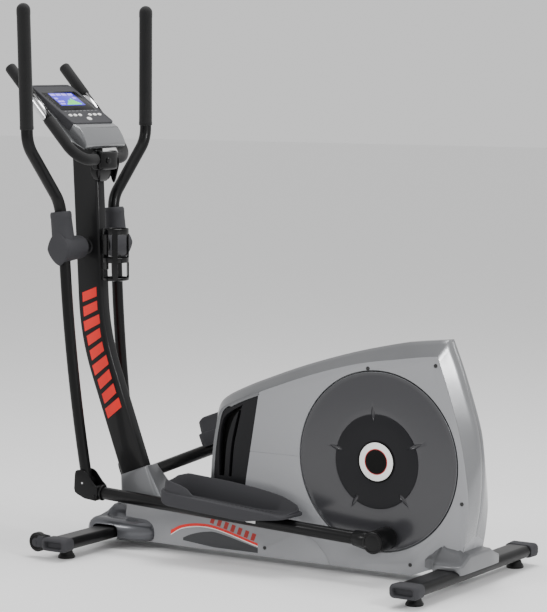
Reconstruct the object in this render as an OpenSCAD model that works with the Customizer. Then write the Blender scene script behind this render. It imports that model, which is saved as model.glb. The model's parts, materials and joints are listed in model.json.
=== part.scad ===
// Elliptical trainer: cross trainer with a covered crank, two pedal arms, two swing arms,
// a bent mast and a console. +X points to the rear, +Y to the machine's right, +Z up.

/* [Overall] */
// Crank centre, measured from the middle of the machine's length
crank_x = 480.9; // [440:1:520]
// Height of the crank centre above the floor
crank_z = 338; // [325:1:400]
// Horizontal distance from the crank centre forward to the swing pivots
reach = 1053.6; // [900:1:1270]
// Height of the swing pivots above the floor
pivot_z = 904.9; // [760:1:1085]
// Height of the mast top above the floor
mast_top_z = 1262; // [1180:1:1500]
// Half length of the stabilizer tubes
stabilizer_half = 346; // [290:1:415]

/* [Linkage] */
// Distance from the crank axis to the crank pin
crank_r = 218; // [180:1:262]
// Crank angle at rest, from straight down
crank_phase = 11.13; // [0:0.01:30]
// Pedal arm length from clevis pin to crank pin
rod_len = 1017.7; // [960:0.1:1100]
// Swing arm length from pivot to clevis pin
swing_len = 710.4; // [680:0.1:760]
// Distance of the arm planes from the middle of the machine
arm_y = 132; // [125:1:160]
// Diameter of the pedal arm tubes
rod_d = 38; // [30:1:46]
// Diameter of the lower swing tubes
swing_d = 34; // [28:1:41]
// Diameter of the clevis pins
clevis_pin_d = 12; // [8:1:16]
// Diameter of the swing pivot axle
pivot_d = 20; // [16:1:24]

/* [Hand rails] */
// Diameter of the moving handlebar tubes
bar_d = 36; // [30:1:40]
// Outer diameter of the foam grips
grip_d = 42; // [40:1:50]
// Distance of the hand grips from the middle of the machine
grip_y = 292; // [240:1:350]
// Length of the moving hand grips
grip_len = 366; // [200:1:440]
// Diameter of the fixed handlebar tube
rail_d = 28; // [22:1:32]
// Distance of the fixed handlebar arms from the middle of the machine
rail_y = 130; // [110:1:156]

/* [Mast] */
// Depth of the mast tube, front to rear
mast_depth = 94; // [78:1:113]
// Width of the mast tube, side to side
mast_w = 42; // [36:1:50]
// Angle of the lower mast from upright
mast_low_tilt = 20.5; // [15:0.5:25]
// Angle of the upper mast from upright
mast_top_tilt = 2.5; // [0:0.5:8]

/* [Housing] */
// Half width of the drive housing
house_half = 58; // [50:1:62]
// Wall of the plastic covers
cover_wall = 3; // [2:0.5:4]
// Rim that the disc covers stand out beyond the crank pins
disc_margin = 38; // [34:1:50]
// Diameter of the crank axle
axle_d = 20; // [16:1:25]
// Radius of the flywheel
flywheel_r = 104; // [80:1:115]
// Thickness of the flywheel
flywheel_w = 18; // [12:1:18]

/* [Console] */
// Half width of the console
console_half = 104; // [90:1:124]
// Tilt of the console face from level
console_tilt = 34; // [25:1:45]
// Length of the console face, lower edge to upper edge
console_len = 205; // [180:1:240]

/* [Hidden] */

$fn = 48;
run_gap = 0.05;            // radial clearance of a running fit
loose = 0.5;               // clearance between pieces that pass each other
wall = 2;                  // wall of the steel tubes

// Linkage at rest, as [x, z] with x from the crank centre
pivot = [-reach, pivot_z];
left_crank_pin = [crank_r * sin(crank_phase), crank_z - crank_r * cos(crank_phase)];
right_crank_pin = [-crank_r * sin(crank_phase), crank_z + crank_r * cos(crank_phase)];
left_clevis = meet(pivot, swing_len, left_crank_pin, rod_len);
right_clevis = meet(pivot, swing_len, right_crank_pin, rod_len);
left_lean = lean(left_clevis);
right_lean = lean(right_clevis);
left_pitch = pitch(left_clevis, left_crank_pin);
right_pitch = pitch(right_clevis, right_crank_pin);

// Lower crossing of the circle of radius ra round a and the circle of radius rb round b
function meet(a, ra, b, rb) =
    let (d = norm(b - a), u = (b - a) / d, along = (ra * ra - rb * rb + d * d) / (2 * d))
    a + along * u + sqrt(ra * ra - along * along) * [u[1], -u[0]];
// Angle of a swing arm from upright, positive with its lower end to the rear
function lean(pin) = atan2(pin[0] - pivot[0], pivot[1] - pin[1]);
// Angle of a pedal arm from level, positive with its rear end up
function pitch(front, rear) = atan2(rear[1] - front[1], rear[0] - front[0]);
// Point at a given height on a sloping line through p, tilted forward from upright
function on_tilt(p, z, tilt) = [p[0] - (z - p[1]) * tan(tilt), z];

// Housing, as [x, z] from the crank centre
disc_r = crank_r + disc_margin;
disc_gap = 5;
recess_r = disc_r + disc_gap;
rear_x = 294 + disc_r - 256;
shell_top = crank_z + disc_r + 56;
shell_low = 22;
shell_front = -571 - (disc_r - 256);
foot_x_front = -reach + 120;
foot_x_rear = crank_r + 37;
cover_front = foot_x_front + 50;
deck_z = 150;

// Side outline of the housing above the base covers, front edge first, then over the top
house_side = [
    [shell_front - 4, deck_z],
    [shell_front, crank_z - 97],
    [shell_front + 8, crank_z - 8],
    [shell_front + 19, crank_z + 55],
    [shell_front + 33, crank_z + 103],
    [shell_front + 63, crank_z + 125],
    [shell_front + 112, crank_z + 148],
    [shell_front + 191, crank_z + 177],
    [-227, shell_top - 81],
    [-67, shell_top - 37],
    [73, shell_top - 15],
    [136, shell_top - 6],
    [193, shell_top],
    [225, shell_top - 90],
    [rear_x - 30, shell_top - 215],
    [rear_x - 7, shell_top - 336],
    [rear_x, shell_top - 420],
    [rear_x - 4, shell_top - 480],
    [rear_x - 12, shell_top - 533],
    [rear_x - 24, shell_low + 40],
];
// Middle outline of the housing, where its crown and its rear are fullest
house_mid = [
    [shell_front - 8, deck_z],
    [shell_front - 10, crank_z - 40],
    [shell_front - 5, crank_z + 95],
    [shell_front + 29, crank_z + 136],
    [shell_front + 131, crank_z + 186],
    [-263, shell_top - 57],
    [-101, shell_top - 9],
    [40, shell_top + 23],
    [103, shell_top + 33],
    [206, shell_top + 44],
    [244, shell_top - 50],
    [rear_x - 11, shell_top - 161],
    [rear_x + 8, shell_top - 238],
    [rear_x + 13, shell_top - 295],
    [rear_x + 10, shell_top - 386],
    [rear_x - 2, shell_top - 478],
    [rear_x - 14, shell_top - 547],
    [rear_x - 26, shell_low + 40],
];
// Low outline of the base covers
house_base = [
    [cover_front, shell_low + 80],
    [cover_front + 9, shell_low],
    [114, shell_low],
    [rear_x - 110, shell_low + 26],
    [rear_x - 24, shell_low + 42],
    [rear_x - 40, deck_z + 60],
    [-200, deck_z + 60],
    [shell_front + 20, deck_z],
    [cover_front + 10, deck_z],
];
insert_line = [
    [shell_front - 60, deck_z + 0.4],
    [shell_front + 116, deck_z + 0.4],
    [shell_front + 124, crank_z - 95],
    [shell_front + 169, crank_z + 163],
    [shell_front + 190, crank_z + 260],
    [shell_front - 60, crank_z + 260],
];

// Flywheel and belt drive
flywheel_at = [shell_front + 176, crank_z - 16];
drive_r = 124;
small_r = 20;
belt_w = 14;
belt_y = -10;
belt_t = 3;
belt_gap = 0.4;

// Mast corner, where the lower and upper straight lines cross
mast_bend_r = 720;
mast_corner = [-reach + 15.8, pivot_z - 271.9];
mast_foot = on_tilt(mast_corner, 137, mast_low_tilt);
mast_top = on_tilt(mast_corner, mast_top_z, mast_top_tilt);

// Stand
stab_w = 82;
stab_h = 35;
stab_low = 29;
foot_y = 297;
bolt_y = 34;
bolt_d = 8;
foot_pad_d = 51;
foot_stem_d = 10;
wheel_r = 29;
wheel_w = 20;
wheel_y = 334;
wheel_axle_d = 10;
wheel_at = [foot_x_front - 70, 46];

// Swing joint, in the swing arm's own frame: z up along the arm from the pivot
hub_d = 50;
hub_in = 76;
hub_out = arm_y + 31;
sleeve_d = 80;
sleeve_in = 54;
stub_d = 42;
stub_top = 92;
cap_h = 104;
cap_w = 81;
clevis_half = 20;
plate_t = 5;
boss_y = hub_in - 4;

// Bearing housing of the pedal arm, by distance from the middle of the machine
housing_in = 69;
housing_out = 159;
housing_d = 65;

// Console frame: u runs up the face, v across, w out of the face
console_low = [mast_top[0] + 30, mast_top_z + 19];
console_t = 30;

// ---- helpers ----
module at_crank() translate([crank_x, 0, 0]) children();
// Extrudes an [x, z] outline from y0 to y1
module slab(y0, y1) translate([0, y1, 0]) rotate([90, 0, 0]) linear_extrude(y1 - y0) children();
// Round bar along Y
module y_rod(d, y0, y1, at = [0, 0])
    translate([at[0], y1, at[1]]) rotate([90, 0, 0]) cylinder(d = d, h = y1 - y0);
// The left or right side: side is -1 for left and 1 for right
module to_side(side) mirror([0, side < 0 ? 1 : 0, 0]) children();
// Rectangle with round corners, centred
module round_rect(w, h, r) {
    square([w - 2 * r, h], center = true);
    square([w, h - 2 * r], center = true);
    for (x = [-1, 1], y = [-1, 1])
        translate([x * (w / 2 - r), y * (h / 2 - r)]) circle(r);
}
// Straight rod between two points
module rod(a, b, d) {
    v = b - a;
    translate(a)
        rotate([0, acos(v[2] / norm(v)), atan2(v[1], v[0])])
            cylinder(d = d, h = norm(v));
}
function unit(v) = v / norm(v);
function turn(a, b, c) = acos(unit(b - a) * unit(c - b));
// Points of the arc of radius r that rounds corner i of the path p
function corner_arc(p, i, r, n) =
    let (
        u = unit(p[i] - p[i - 1]),
        v = unit(p[i + 1] - p[i]),
        a = turn(p[i - 1], p[i], p[i + 1]),
        inward = cross(unit(cross(u, v)), u),
        c = p[i] - u * r * tan(a / 2) + inward * r
    )
    [for (j = [0 : n]) c - inward * r * cos(a * j / n) + u * r * sin(a * j / n)];
// The path p with its corners rounded to radius r
function rounded_path(p, r, n = 7) = concat(
    [p[0]],
    [for (i = [1 : len(p) - 2]) each corner_arc(p, i, r, n)],
    [p[len(p) - 1]]
);
// The same path, longer by e at both ends
function longer(p, e) = concat(
    [p[0] - unit(p[1] - p[0]) * e],
    [for (i = [1 : len(p) - 2]) p[i]],
    [p[len(p) - 1] + unit(p[len(p) - 1] - p[len(p) - 2]) * e]
);
function round_ring(d, n = 20) = [for (a = [0 : n - 1]) d / 2 * [cos(360 * a / n), sin(360 * a / n)]];
// Sweeps a ring along a path; across is a direction that the path never follows
module swept(path, ring, across) {
    last = len(path) - 1;
    n = len(ring);
    points = [
        for (i = [0 : last])
            let (
                t = unit(path[min(i + 1, last)] - path[max(i - 1, 0)]),
                s = unit(cross(across, t)),
                w = cross(t, s)
            )
            each [for (q = ring) path[i] + q[0] * s + q[1] * w]
    ];
    sides = [
        for (i = [0 : last - 1], j = [0 : n - 1])
            let (a = i * n + j, b = i * n + (j + 1) % n)
            each [[a, a + n, b + n], [a, b + n, b]]
    ];
    polyhedron(points, concat(
        [[for (j = [0 : n - 1]) j]],
        sides,
        [[for (j = [n - 1 : -1 : 0]) last * n + j]]
    ));
}
// Hollow round tube along a path with rounded corners
module bent_tube(p, d, r, t, across) {
    difference() {
        swept(rounded_path(p, r), round_ring(d), across);
        swept(rounded_path(longer(p, 1), r), round_ring(d - 2 * t), across);
    }
}
// Places a piece built in the swing arm's frame
module at_swing(side)
    at_crank() translate([pivot[0], 0, pivot[1]])
        rotate([0, -(side < 0 ? left_lean : right_lean), 0]) to_side(side) children();
// Places a piece built in the pedal arm's frame: x rearward from the clevis pin
module at_arm(side) {
    pin = side < 0 ? left_clevis : right_clevis;
    at_crank() translate([pin[0], 0, pin[1]])
        rotate([0, -(side < 0 ? left_pitch : right_pitch), 0]) to_side(side) children();
}

// ---- stand and frame ----
beam_h = 50;
beam_z = stab_low + stab_h + wall + 1 + beam_h / 2;
beam_w = 40;
post_t = 6;
post_y = beam_w / 2 + post_t / 2 - 0.5;
module base_frame() {
    color("#303030") at_crank() {
        difference() {
            translate([foot_x_front, -beam_w / 2, beam_z - beam_h / 2])
                cube([foot_x_rear - foot_x_front, beam_w, beam_h]);
            translate([foot_x_front - 1, -beam_w / 2 + wall, beam_z - beam_h / 2 + wall])
                cube([foot_x_rear - foot_x_front + 2, beam_w - 2 * wall, beam_h - 2 * wall]);
        }
        for (x = [foot_x_front + 6, foot_x_rear + 4])
            difference() {
                translate([x - 30, -45, stab_low + stab_h]) cube([60, 90, wall + 1]);
                for (y = [-bolt_y, bolt_y])
                    translate([x, y, 0]) cylinder(d = bolt_d + 0.4, h = 200);
            }
        for (side = [-1, 1]) {
            difference() {
                slab(side * post_y - post_t / 2, side * post_y + post_t / 2)
                    polygon([
                        [-70, beam_z - 10],
                        [70, beam_z - 10],
                        [34, crank_z + 20],
                        [-34, crank_z + 20],
                    ]);
                y_rod(bearing_d + 2 * run_gap, -post_y - post_t, post_y + post_t, [0, crank_z]);
            }
            difference() {
                slab(side * post_y - post_t / 2, side * post_y + post_t / 2)
                    polygon([
                        [flywheel_at[0] - 110, beam_z - 10],
                        [flywheel_at[0] + 60, beam_z - 10],
                        [flywheel_at[0] + 16, flywheel_at[1] + 16],
                        [flywheel_at[0] - 16, flywheel_at[1] + 16],
                        bracket_at + [-14, 14],
                        bracket_at + [-14, -16],
                    ]);
                y_rod(12, -post_y - post_t, post_y + post_t, flywheel_at);
                y_rod(10, -post_y - post_t, post_y + post_t, bracket_at);
            }
        }
        difference() {
            mast_segment(beam_z, mast_foot[1] + 90, mast_depth - 2 * wall - 1, mast_w - 2 * wall - 1);
            mast_segment(beam_z - 5, mast_foot[1] + 95, mast_depth - 4 * wall - 1, mast_w - 4 * wall - 1);
            slab(-beam_w / 2 + wall, beam_w / 2 - wall)
                translate([-reach, beam_z - 200]) square([400, 200 + beam_h / 2 - wall]);
        }
    }
}

// Oval stabilizer tube across the machine, centred at x, with holes for its feet
module stabilizer(x) {
    color("#2a2a2a") at_crank() difference() {
        translate([x, 0, stab_low + stab_h / 2]) rotate([90, 0, 0])
            linear_extrude(2 * stabilizer_half, center = true)
                round_rect(stab_w, stab_h, stab_h / 2 - 0.1);
        translate([x, 0, stab_low + stab_h / 2]) rotate([90, 0, 0])
            linear_extrude(2 * stabilizer_half + 2, center = true)
                round_rect(stab_w - 2 * wall, stab_h - 2 * wall, stab_h / 2 - wall - 0.1);
        for (y = [-foot_y, foot_y])
            translate([x, y, stab_low - 1]) cylinder(d = foot_stem_d + 2 * run_gap, h = 10);
        for (y = [-bolt_y, bolt_y])
            translate([x, y, stab_low - 1]) cylinder(d = bolt_d + 0.4, h = stab_h + 2);
    }
}
module front_stabilizer() stabilizer(foot_x_front + 6);
module rear_stabilizer() stabilizer(foot_x_rear + 4);

// Bulging end cap over a stabilizer end
module end_cap(x, side) {
    translate([x, side * stabilizer_half, stab_low + stab_h / 2]) {
        difference() {
            hull() {
                for (step = [[-30, 2.5], [4, 4.5], [14, 2], [20, -6]])
                    translate([0, side * step[0], 0]) rotate([90, 0, 0])
                        linear_extrude(0.5, center = true)
                            round_rect(stab_w + 2 * step[1], stab_h + 1.2 * step[1],
                                       stab_h / 2 - 4, $fn = 32);
            }
            translate([0, -side * 20, 0]) rotate([90, 0, 0])
                linear_extrude(40.2, center = true)
                    round_rect(stab_w + 0.4, stab_h + 0.4, stab_h / 2 - 0.1);
        }
    }
}
module end_caps() {
    color("#222222") at_crank() {
        for (side = [-1, 1]) {
            end_cap(foot_x_rear + 4, side);
            end_cap(foot_x_front + 6, side);
            for (k = [-1, 1])
                slab(side * wheel_y + k * 14 - 2.5, side * wheel_y + k * 14 + 2.5)
                    polygon([
                        [foot_x_front - 37, stab_low + 4],
                        [foot_x_front - 37, stab_low + stab_h + 2],
                        [wheel_at[0] - 4, wheel_at[1] + 12],
                        [wheel_at[0] - 12, wheel_at[1] - 2],
                        [wheel_at[0] - 6, wheel_at[1] - 11],
                    ]);
            y_rod(wheel_axle_d, side * wheel_y - 14, side * wheel_y + 14, wheel_at);
        }
    }
}

// Transport wheel with a running bore
module wheel(side) {
    color("#1c1c1c") at_crank() translate([wheel_at[0], side * wheel_y, wheel_at[1]])
        rotate([90, 0, 0]) rotate_extrude() polygon([
            [wheel_axle_d / 2 + run_gap, -wheel_w / 2],
            [wheel_axle_d / 2 + 5, -wheel_w / 2],
            [wheel_axle_d / 2 + 7, -wheel_w / 2 + 5],
            [wheel_r - 8, -wheel_w / 2 + 5],
            [wheel_r - 5, -wheel_w / 2],
            [wheel_r - 1.5, -wheel_w / 2],
            [wheel_r, -wheel_w / 2 + 3],
            [wheel_r, wheel_w / 2 - 3],
            [wheel_r - 1.5, wheel_w / 2],
            [wheel_r - 5, wheel_w / 2],
            [wheel_r - 8, wheel_w / 2 - 5],
            [wheel_axle_d / 2 + 7, wheel_w / 2 - 5],
            [wheel_axle_d / 2 + 5, wheel_w / 2],
            [wheel_axle_d / 2 + run_gap, wheel_w / 2],
        ]);
}
module left_wheel() wheel(-1);
module right_wheel() wheel(1);

// Levelling foot: conical rubber pad on a threaded stem
module foot(x, side) {
    color("#181818") at_crank() translate([x, side * foot_y, 0]) rotate_extrude() polygon([
        [0, 0],
        [foot_pad_d / 2, 0],
        [foot_pad_d / 2, 6],
        [foot_pad_d / 2 - 3, 10],
        [foot_pad_d / 2 - 8, stab_low - 7],
        [foot_stem_d, stab_low - 5],
        [foot_stem_d, stab_low - 0.3],
        [foot_stem_d / 2, stab_low - 0.3],
        [foot_stem_d / 2, stab_low + 18],
        [0, stab_low + 18],
    ]);
}
module front_left_foot() foot(foot_x_front + 6, -1);
module front_right_foot() foot(foot_x_front + 6, 1);
module rear_left_foot() foot(foot_x_rear + 4, -1);
module rear_right_foot() foot(foot_x_rear + 4, 1);

// ---- mast ----
// Straight piece of the lower mast between two heights, on the lower mast's line
module mast_segment(z0, z1, depth, w) {
    a = on_tilt(mast_corner, z0, mast_low_tilt);
    translate([a[0], 0, a[1]]) rotate([0, -mast_low_tilt, 0])
        translate([-depth / 2, -w / 2, 0]) cube([depth, w, (z1 - z0) / cos(mast_low_tilt)]);
}
// Bent line of the mast, from foot to top, moved sideways by off; e lengthens it at both ends
function mast_line(off, e) =
    let (
        bend = mast_low_tilt - mast_top_tilt,
        c = mast_corner + mast_bend_r * [
            cos(mast_low_tilt) - sin(mast_low_tilt) * -tan(bend / 2),
            sin(mast_low_tilt) - cos(mast_low_tilt) * tan(bend / 2)
        ]
    )
    concat(
        [on_tilt(mast_corner, mast_foot[1] - e, mast_low_tilt)
            + off * [cos(mast_low_tilt), sin(mast_low_tilt)]],
        [for (a = [mast_low_tilt : -bend / 8 : mast_top_tilt])
            c - (mast_bend_r - off) * [cos(a), sin(a)]],
        [on_tilt(mast_corner, mast_top[1] + e, mast_top_tilt)
            + off * [cos(mast_top_tilt), sin(mast_top_tilt)]]
    );
// Whole mast, grown on all sides; e lengthens it
module mast_body(grow, e = 0) {
    front = mast_line(-mast_depth / 2 - grow, e);
    rear = mast_line(mast_depth / 2 + grow, e);
    slab(-mast_w / 2 - grow, mast_w / 2 + grow)
        polygon(concat(front, [for (i = [len(rear) - 1 : -1 : 0]) rear[i]]));
}
module mast() {
    color("#383838") at_crank() difference() {
        union() {
            mast_body(0);
            y_rod(hub_d - 10, -boss_y, boss_y, pivot);
        }
        mast_body(-wall, 5);
        y_rod(pivot_d, -boss_y - 1, boss_y + 1, pivot);
        at_foot() for (u = [-22, 22])
            y_rod(8.4, -mast_w, mast_w, [u, 34]);
    }
    color("#303030") at_crank() difference() {
        y_rod(pivot_d + 8, -mast_w / 2 + wall - 0.5, mast_w / 2 - wall + 0.5, pivot);
        y_rod(pivot_d, -mast_w, mast_w, pivot);
    }
}
module at_foot() translate([mast_foot[0], 0, mast_foot[1]]) rotate([0, -mast_low_tilt, 0]) children();

module mast_base_cover() {
    color("#9a9a9a") at_crank() difference() {
        slab(-house_half + 8, house_half - 8) mast_boot_outline(0);
        slab(-house_half + 8 + cover_wall, house_half - 8 - cover_wall) mast_boot_outline(-cover_wall);
        mast_segment(0, 500, mast_depth + 1, mast_w + 1);
        side_envelope(0.3);
    }
}
module mast_boot_outline(grow) {
    c = on_tilt(mast_corner, 205, mast_low_tilt);
    polygon([
        [c[0] - 62 - grow, 120 - grow],
        [c[0] - 50 - grow, 190],
        [c[0] - 44, 200 + grow],
        [c[0] + 74, 256 + grow],
        [c[0] + 100 + grow, 232],
        [c[0] + 126 + grow, 190],
        [c[0] + 110 + grow, 120 - grow],
    ]);
}

// ---- drive housing ----
module side_envelope(grow = 0) {
    slab(-house_half - grow, house_half + grow) {
        polygon(house_side);
        polygon(house_base);
    }
}
module house_crown(shrink) {
    hull() {
        slab(-house_half + shrink, house_half - shrink) offset(delta = -shrink) polygon(house_side);
        slab(-14, 14) offset(delta = -shrink) polygon(house_mid);
    }
}
// One housing half, built on the positive side with its seam at y = 0
module shell_half(side) {
    color("#8c8c8c") at_crank() to_side(side) difference() {
        union() {
            difference() {
                slab(0.3, house_half) shell_outline();
                slab(-1, house_half - cover_wall) offset(delta = -cover_wall) full_outline();
            }
            intersection() {
                y_rod(2 * (recess_r + cover_wall), 36, house_half - 1, [0, crank_z]);
                slab(0.3, house_half) shell_outline();
            }
            for (p = screw_points)
                y_rod(14, 1, house_half - 1, p);
        }
        y_rod(2 * recess_r, 36 + cover_wall, house_half + 1, [0, crank_z]);
        difference() {
            y_rod(2 * recess_r, 0, 36, [0, crank_z]);
            for (p = screw_points)
                y_rod(14, 0, 37, p);
        }
        y_rod(axle_d + 24, 0, house_half, [0, crank_z]);
        for (p = screw_points) {
            y_rod(4, -1, house_half + 1, p);
            y_rod(11, house_half - 3, house_half + 1, p);
        }
        mast_segment(0, 400, mast_depth + 1, mast_w + 1);
        slab(-1, house_half - 10 - 2 * cover_wall) translate([cover_front - 4, shell_low - 1])
            square([14, beam_z + beam_h / 2 + 2 - shell_low]);
        slab(-1, stab_h + 35) translate([foot_x_rear - 60, stab_low - 20])
            square([140, stab_h + 34]);
    }
}
screw_points = [
    [-32, shell_top - 48],
    [187, shell_top - 26],
    [rear_x - 21, crank_z - 96],
    [109, 52],
    [-381, 48],
];
module full_outline() {
    polygon(house_side);
    polygon(house_base);
}
module shell_outline() {
    difference() {
        full_outline();
        polygon(insert_line);
    }
}
module left_shell() shell_half(-1);
module right_shell() shell_half(1);

module front_insert() {
    color("#4a4a4a") at_crank() difference() {
        intersection() {
            house_crown(0);
            slab(-house_half, house_half) offset(delta = -0.3) polygon(insert_line);
        }
        intersection() {
            house_crown(cover_wall);
            slab(-house_half, house_half) polygon(insert_line);
        }
        for (x = [70, 100])
            slab(-house_half - 1, house_half + 1) polygon([
                [shell_front + x, crank_z - 60],
                [shell_front + x + 9, crank_z - 60],
                [shell_front + x + 34, crank_z + 130],
                [shell_front + x + 25, crank_z + 130],
            ]);
    }
}
// Crown between the housing halves, front part or rear part
module crown_part(outline) {
    difference() {
        intersection() {
            house_crown(0);
            slab(-house_half, house_half) polygon(outline);
        }
        slab(-house_half - 1, house_half + 1) offset(delta = 0.3) shell_outline();
        house_crown(cover_wall + 1);
    }
}
crown_split = [194, shell_top + 0.5];
module top_trim() {
    color("#a4a4a4") at_crank() crown_part([
        [shell_front + 169.5, crank_z + 163],
        [shell_front + 190.5, crank_z + 260],
        [-200, shell_top + 80],
        [crown_split[0] + 24, shell_top + 80],
        crown_split,
        [crown_split[0] - 60, shell_top - 60],
    ]);
}
module rear_fascia() {
    color("#c2c2c2") at_crank() difference() {
        crown_part([
            crown_split + [0.4, 0],
            [crown_split[0] + 24.4, shell_top + 80],
            [rear_x + 60, shell_top + 80],
            [rear_x + 60, shell_low + 60],
            [rear_x - 60, shell_low + 60],
            [rear_x - 90, crank_z],
        ]);
        intersection() {
            slab(-2, 2) difference() {
                offset(delta = 1) polygon(house_mid);
                offset(delta = -2) polygon(house_mid);
            }
            translate([crown_split[0] + 10, -10, 0]) cube([200, 20, shell_top + 60]);
        }
    }
}
module front_foot_cover() {
    color("#5c5c5c") at_crank() difference() {
        hull() {
            translate([foot_x_front - 45, -110, stab_low - 8]) cube([20, 220, 62]);
            translate([foot_x_front - 67, -100, stab_low - 8]) cube([20, 200, 40]);
            translate([foot_x_front + 60, -100, stab_low - 8]) cube([20, 200, 48]);
            translate([cover_front + 30, -house_half - 6, stab_low - 8])
                cube([60, 2 * house_half + 12, 40]);
        }
        translate([foot_x_front - 62, -92, stab_low - 9]) cube([210, 184, 36]);
        translate([foot_x_front - 40, -120, stab_low - 9]) cube([92, 240, stab_h + 11.5]);
        side_envelope(0.3);
        translate([foot_x_front - 0.3, -beam_w / 2 - 0.5, stab_low])
            cube([200, beam_w + 1, 200]);
        translate([foot_x_front - 25, -46, stab_low]) cube([62, 92, stab_h + 13]);
        mast_segment(0, 300, mast_depth + 1, mast_w + 1);
    }
}
module rear_foot_cover() {
    color("#9a9a9a") at_crank() difference() {
        hull() {
            translate([foot_x_rear - 50, -124, stab_low + 6]) cube([99, 248, 48]);
            translate([foot_x_rear - 100, -house_half - 8, stab_low + 4])
                cube([30, 2 * house_half + 16, 40]);
            translate([foot_x_rear - 40, -house_half - 6, stab_low + 60])
                cube([88, 2 * house_half + 12, 34]);
        }
        translate([foot_x_rear - 39, -130, stab_low - 1]) cube([86, 260, stab_h + 3]);
        translate([foot_x_rear - 60, -115, stab_low - 1]) cube([104, 230, 50]);
        side_envelope(0.3);
        translate([-200, -beam_w / 2 - 0.5, stab_low]) cube([foot_x_rear + 200.5, beam_w + 1, 90]);
        translate([foot_x_rear - 27, -46, stab_low]) cube([62, 92, stab_h + 13]);
        intersection() {
            house_crown(-0.3);
            translate([0, -200, stab_low + 30]) cube([400, 400, 300]);
        }
    }
}

// ---- drive ----
bearing_d = 42;
module bearings() {
    color("#b8b8b8") at_crank() {
        for (side = [-1, 1])
            difference() {
                y_rod(bearing_d, side * (post_y + 2) - 5, side * (post_y + 2) + 5, [0, crank_z]);
                y_rod(axle_d + 2 * run_gap, side * post_y - 9, side * post_y + 9, [0, crank_z]);
            }
        y_rod(12, -post_y - 9, post_y + 9, flywheel_at);
        y_rod(10, -post_y - 6, post_y + 6, bracket_at);
    }
}
module crank() {
    color("#6a6a6a") at_crank() {
        y_rod(axle_d, -52, 52, [0, crank_z]);
        for (side = [-1, 1]) {
            pin = side < 0 ? left_crank_pin : right_crank_pin;
            slab(side * 47.5 - 4.5, side * 47.5 + 4.5)
                translate([0, crank_z]) rotate(atan2(pin[1] - crank_z, pin[0])) {
                    translate([0, -16]) square([crank_r, 32]);
                    circle(21);
                    translate([crank_r, 0]) circle(20);
                }
        }
    }
}
module drive_pulley() {
    color("#202020") at_crank() difference() {
        translate([0, belt_y + belt_w / 2 + 1, crank_z]) rotate([90, 0, 0]) difference() {
            cylinder(r = drive_r, h = belt_w + 2, $fn = 96);
            for (z = [-1, belt_w - 3])
                translate([0, 0, z]) difference() {
                    cylinder(r = drive_r - 8, h = 6);
                    translate([0, 0, -1]) cylinder(r = 26, h = 8);
                }
            for (a = [0 : 60 : 300])
                rotate(a) translate([70, 0, -1]) cylinder(r = 22, h = belt_w + 4);
        }
        y_rod(axle_d, -40, 40, [0, crank_z]);
    }
}
module flywheel() {
    color("#555555") at_crank() translate([flywheel_at[0], 0, flywheel_at[1]])
        rotate([90, 0, 0]) difference() {
            union() {
                translate([0, 0, -flywheel_w])
                    difference() {
                        cylinder(r = flywheel_r, h = flywheel_w, $fn = 96);
                        for (z = [-1, flywheel_w - 7])
                            translate([0, 0, z]) difference() {
                                cylinder(r = flywheel_r - 22, h = 8);
                                translate([0, 0, -1]) cylinder(r = 22, h = 10);
                            }
                    }
                translate([0, 0, -1]) cylinder(r = small_r, h = belt_w / 2 + 2 - belt_y);
            }
            translate([0, 0, -40]) cylinder(r = 6 + run_gap, h = 80);
        }
}
module belt_path(grow) {
    hull() {
        translate([0, crank_z]) circle(drive_r + belt_gap + grow, $fn = 96);
        translate(flywheel_at) circle(small_r + belt_gap + grow, $fn = 48);
    }
}
module belt() {
    color("#111111") at_crank() slab(belt_y - belt_w / 2, belt_y + belt_w / 2) difference() {
        belt_path(belt_t);
        belt_path(0);
    }
}
bracket_start = 205;
bracket_at = flywheel_at + (flywheel_r + 30) * [cos(bracket_start), sin(bracket_start)];
module brake_bracket() {
    color("#707070") at_crank() difference() {
        union() {
            intersection() {
                difference() {
                    y_rod(2 * (flywheel_r + 22), -18, 18, flywheel_at);
                    y_rod(2 * (flywheel_r + 6), -20, 20, flywheel_at);
                }
                slab(-20, 20) polygon([
                    flywheel_at,
                    for (a = [0 : 20 : 80])
                        flywheel_at + 2 * flywheel_r * [cos(bracket_start + a), sin(bracket_start + a)],
                ]);
            }
            y_rod(22, -18, 18, bracket_at);
        }
        y_rod(10 + 2 * run_gap, -30, 30, bracket_at);
    }
}
module brake_motor() {
    color("#3c5a3c") at_crank() translate([flywheel_at[0] + 106, -post_y - 3, beam_z + 26])
        cube([60, 2 * post_y + 6, 42]);
}

// Disc cover: shallow dish with a raised ring, a hub badge and five notches on the ring
module disc(side) {
    color("#262626") at_crank() to_side(side) translate([0, 0, crank_z]) rotate([-90, 0, 0])
        difference() {
            rotate_extrude($fn = 96) polygon([
                    [0, 52],
                    [disc_r - 9, 52],
                    [disc_r - 4, 47],
                    [disc_r, 47],
                    [disc_r, 56],
                    [disc_r - 4, 60],
                    [disc_r * 0.9, 61.5],
                    [disc_r * 0.53, 62.5],
                    [disc_r * 0.51, 63.6],
                    [disc_r * 0.49, 63.2],
                    [disc_r * 0.25, 62.4],
                    [disc_r * 0.23, 65],
                    [0, 65.4],
                ]);
            for (a = [18 : 72 : 306])
                rotate(a) translate([disc_r * 0.51, 0, 61.4]) {
                    cylinder(r = 9, h = 10, $fn = 32);
                    rotate(45) cube([11, 11, 10]);
                }
        }
}
module left_disc() disc(-1);
module right_disc() disc(1);

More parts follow.
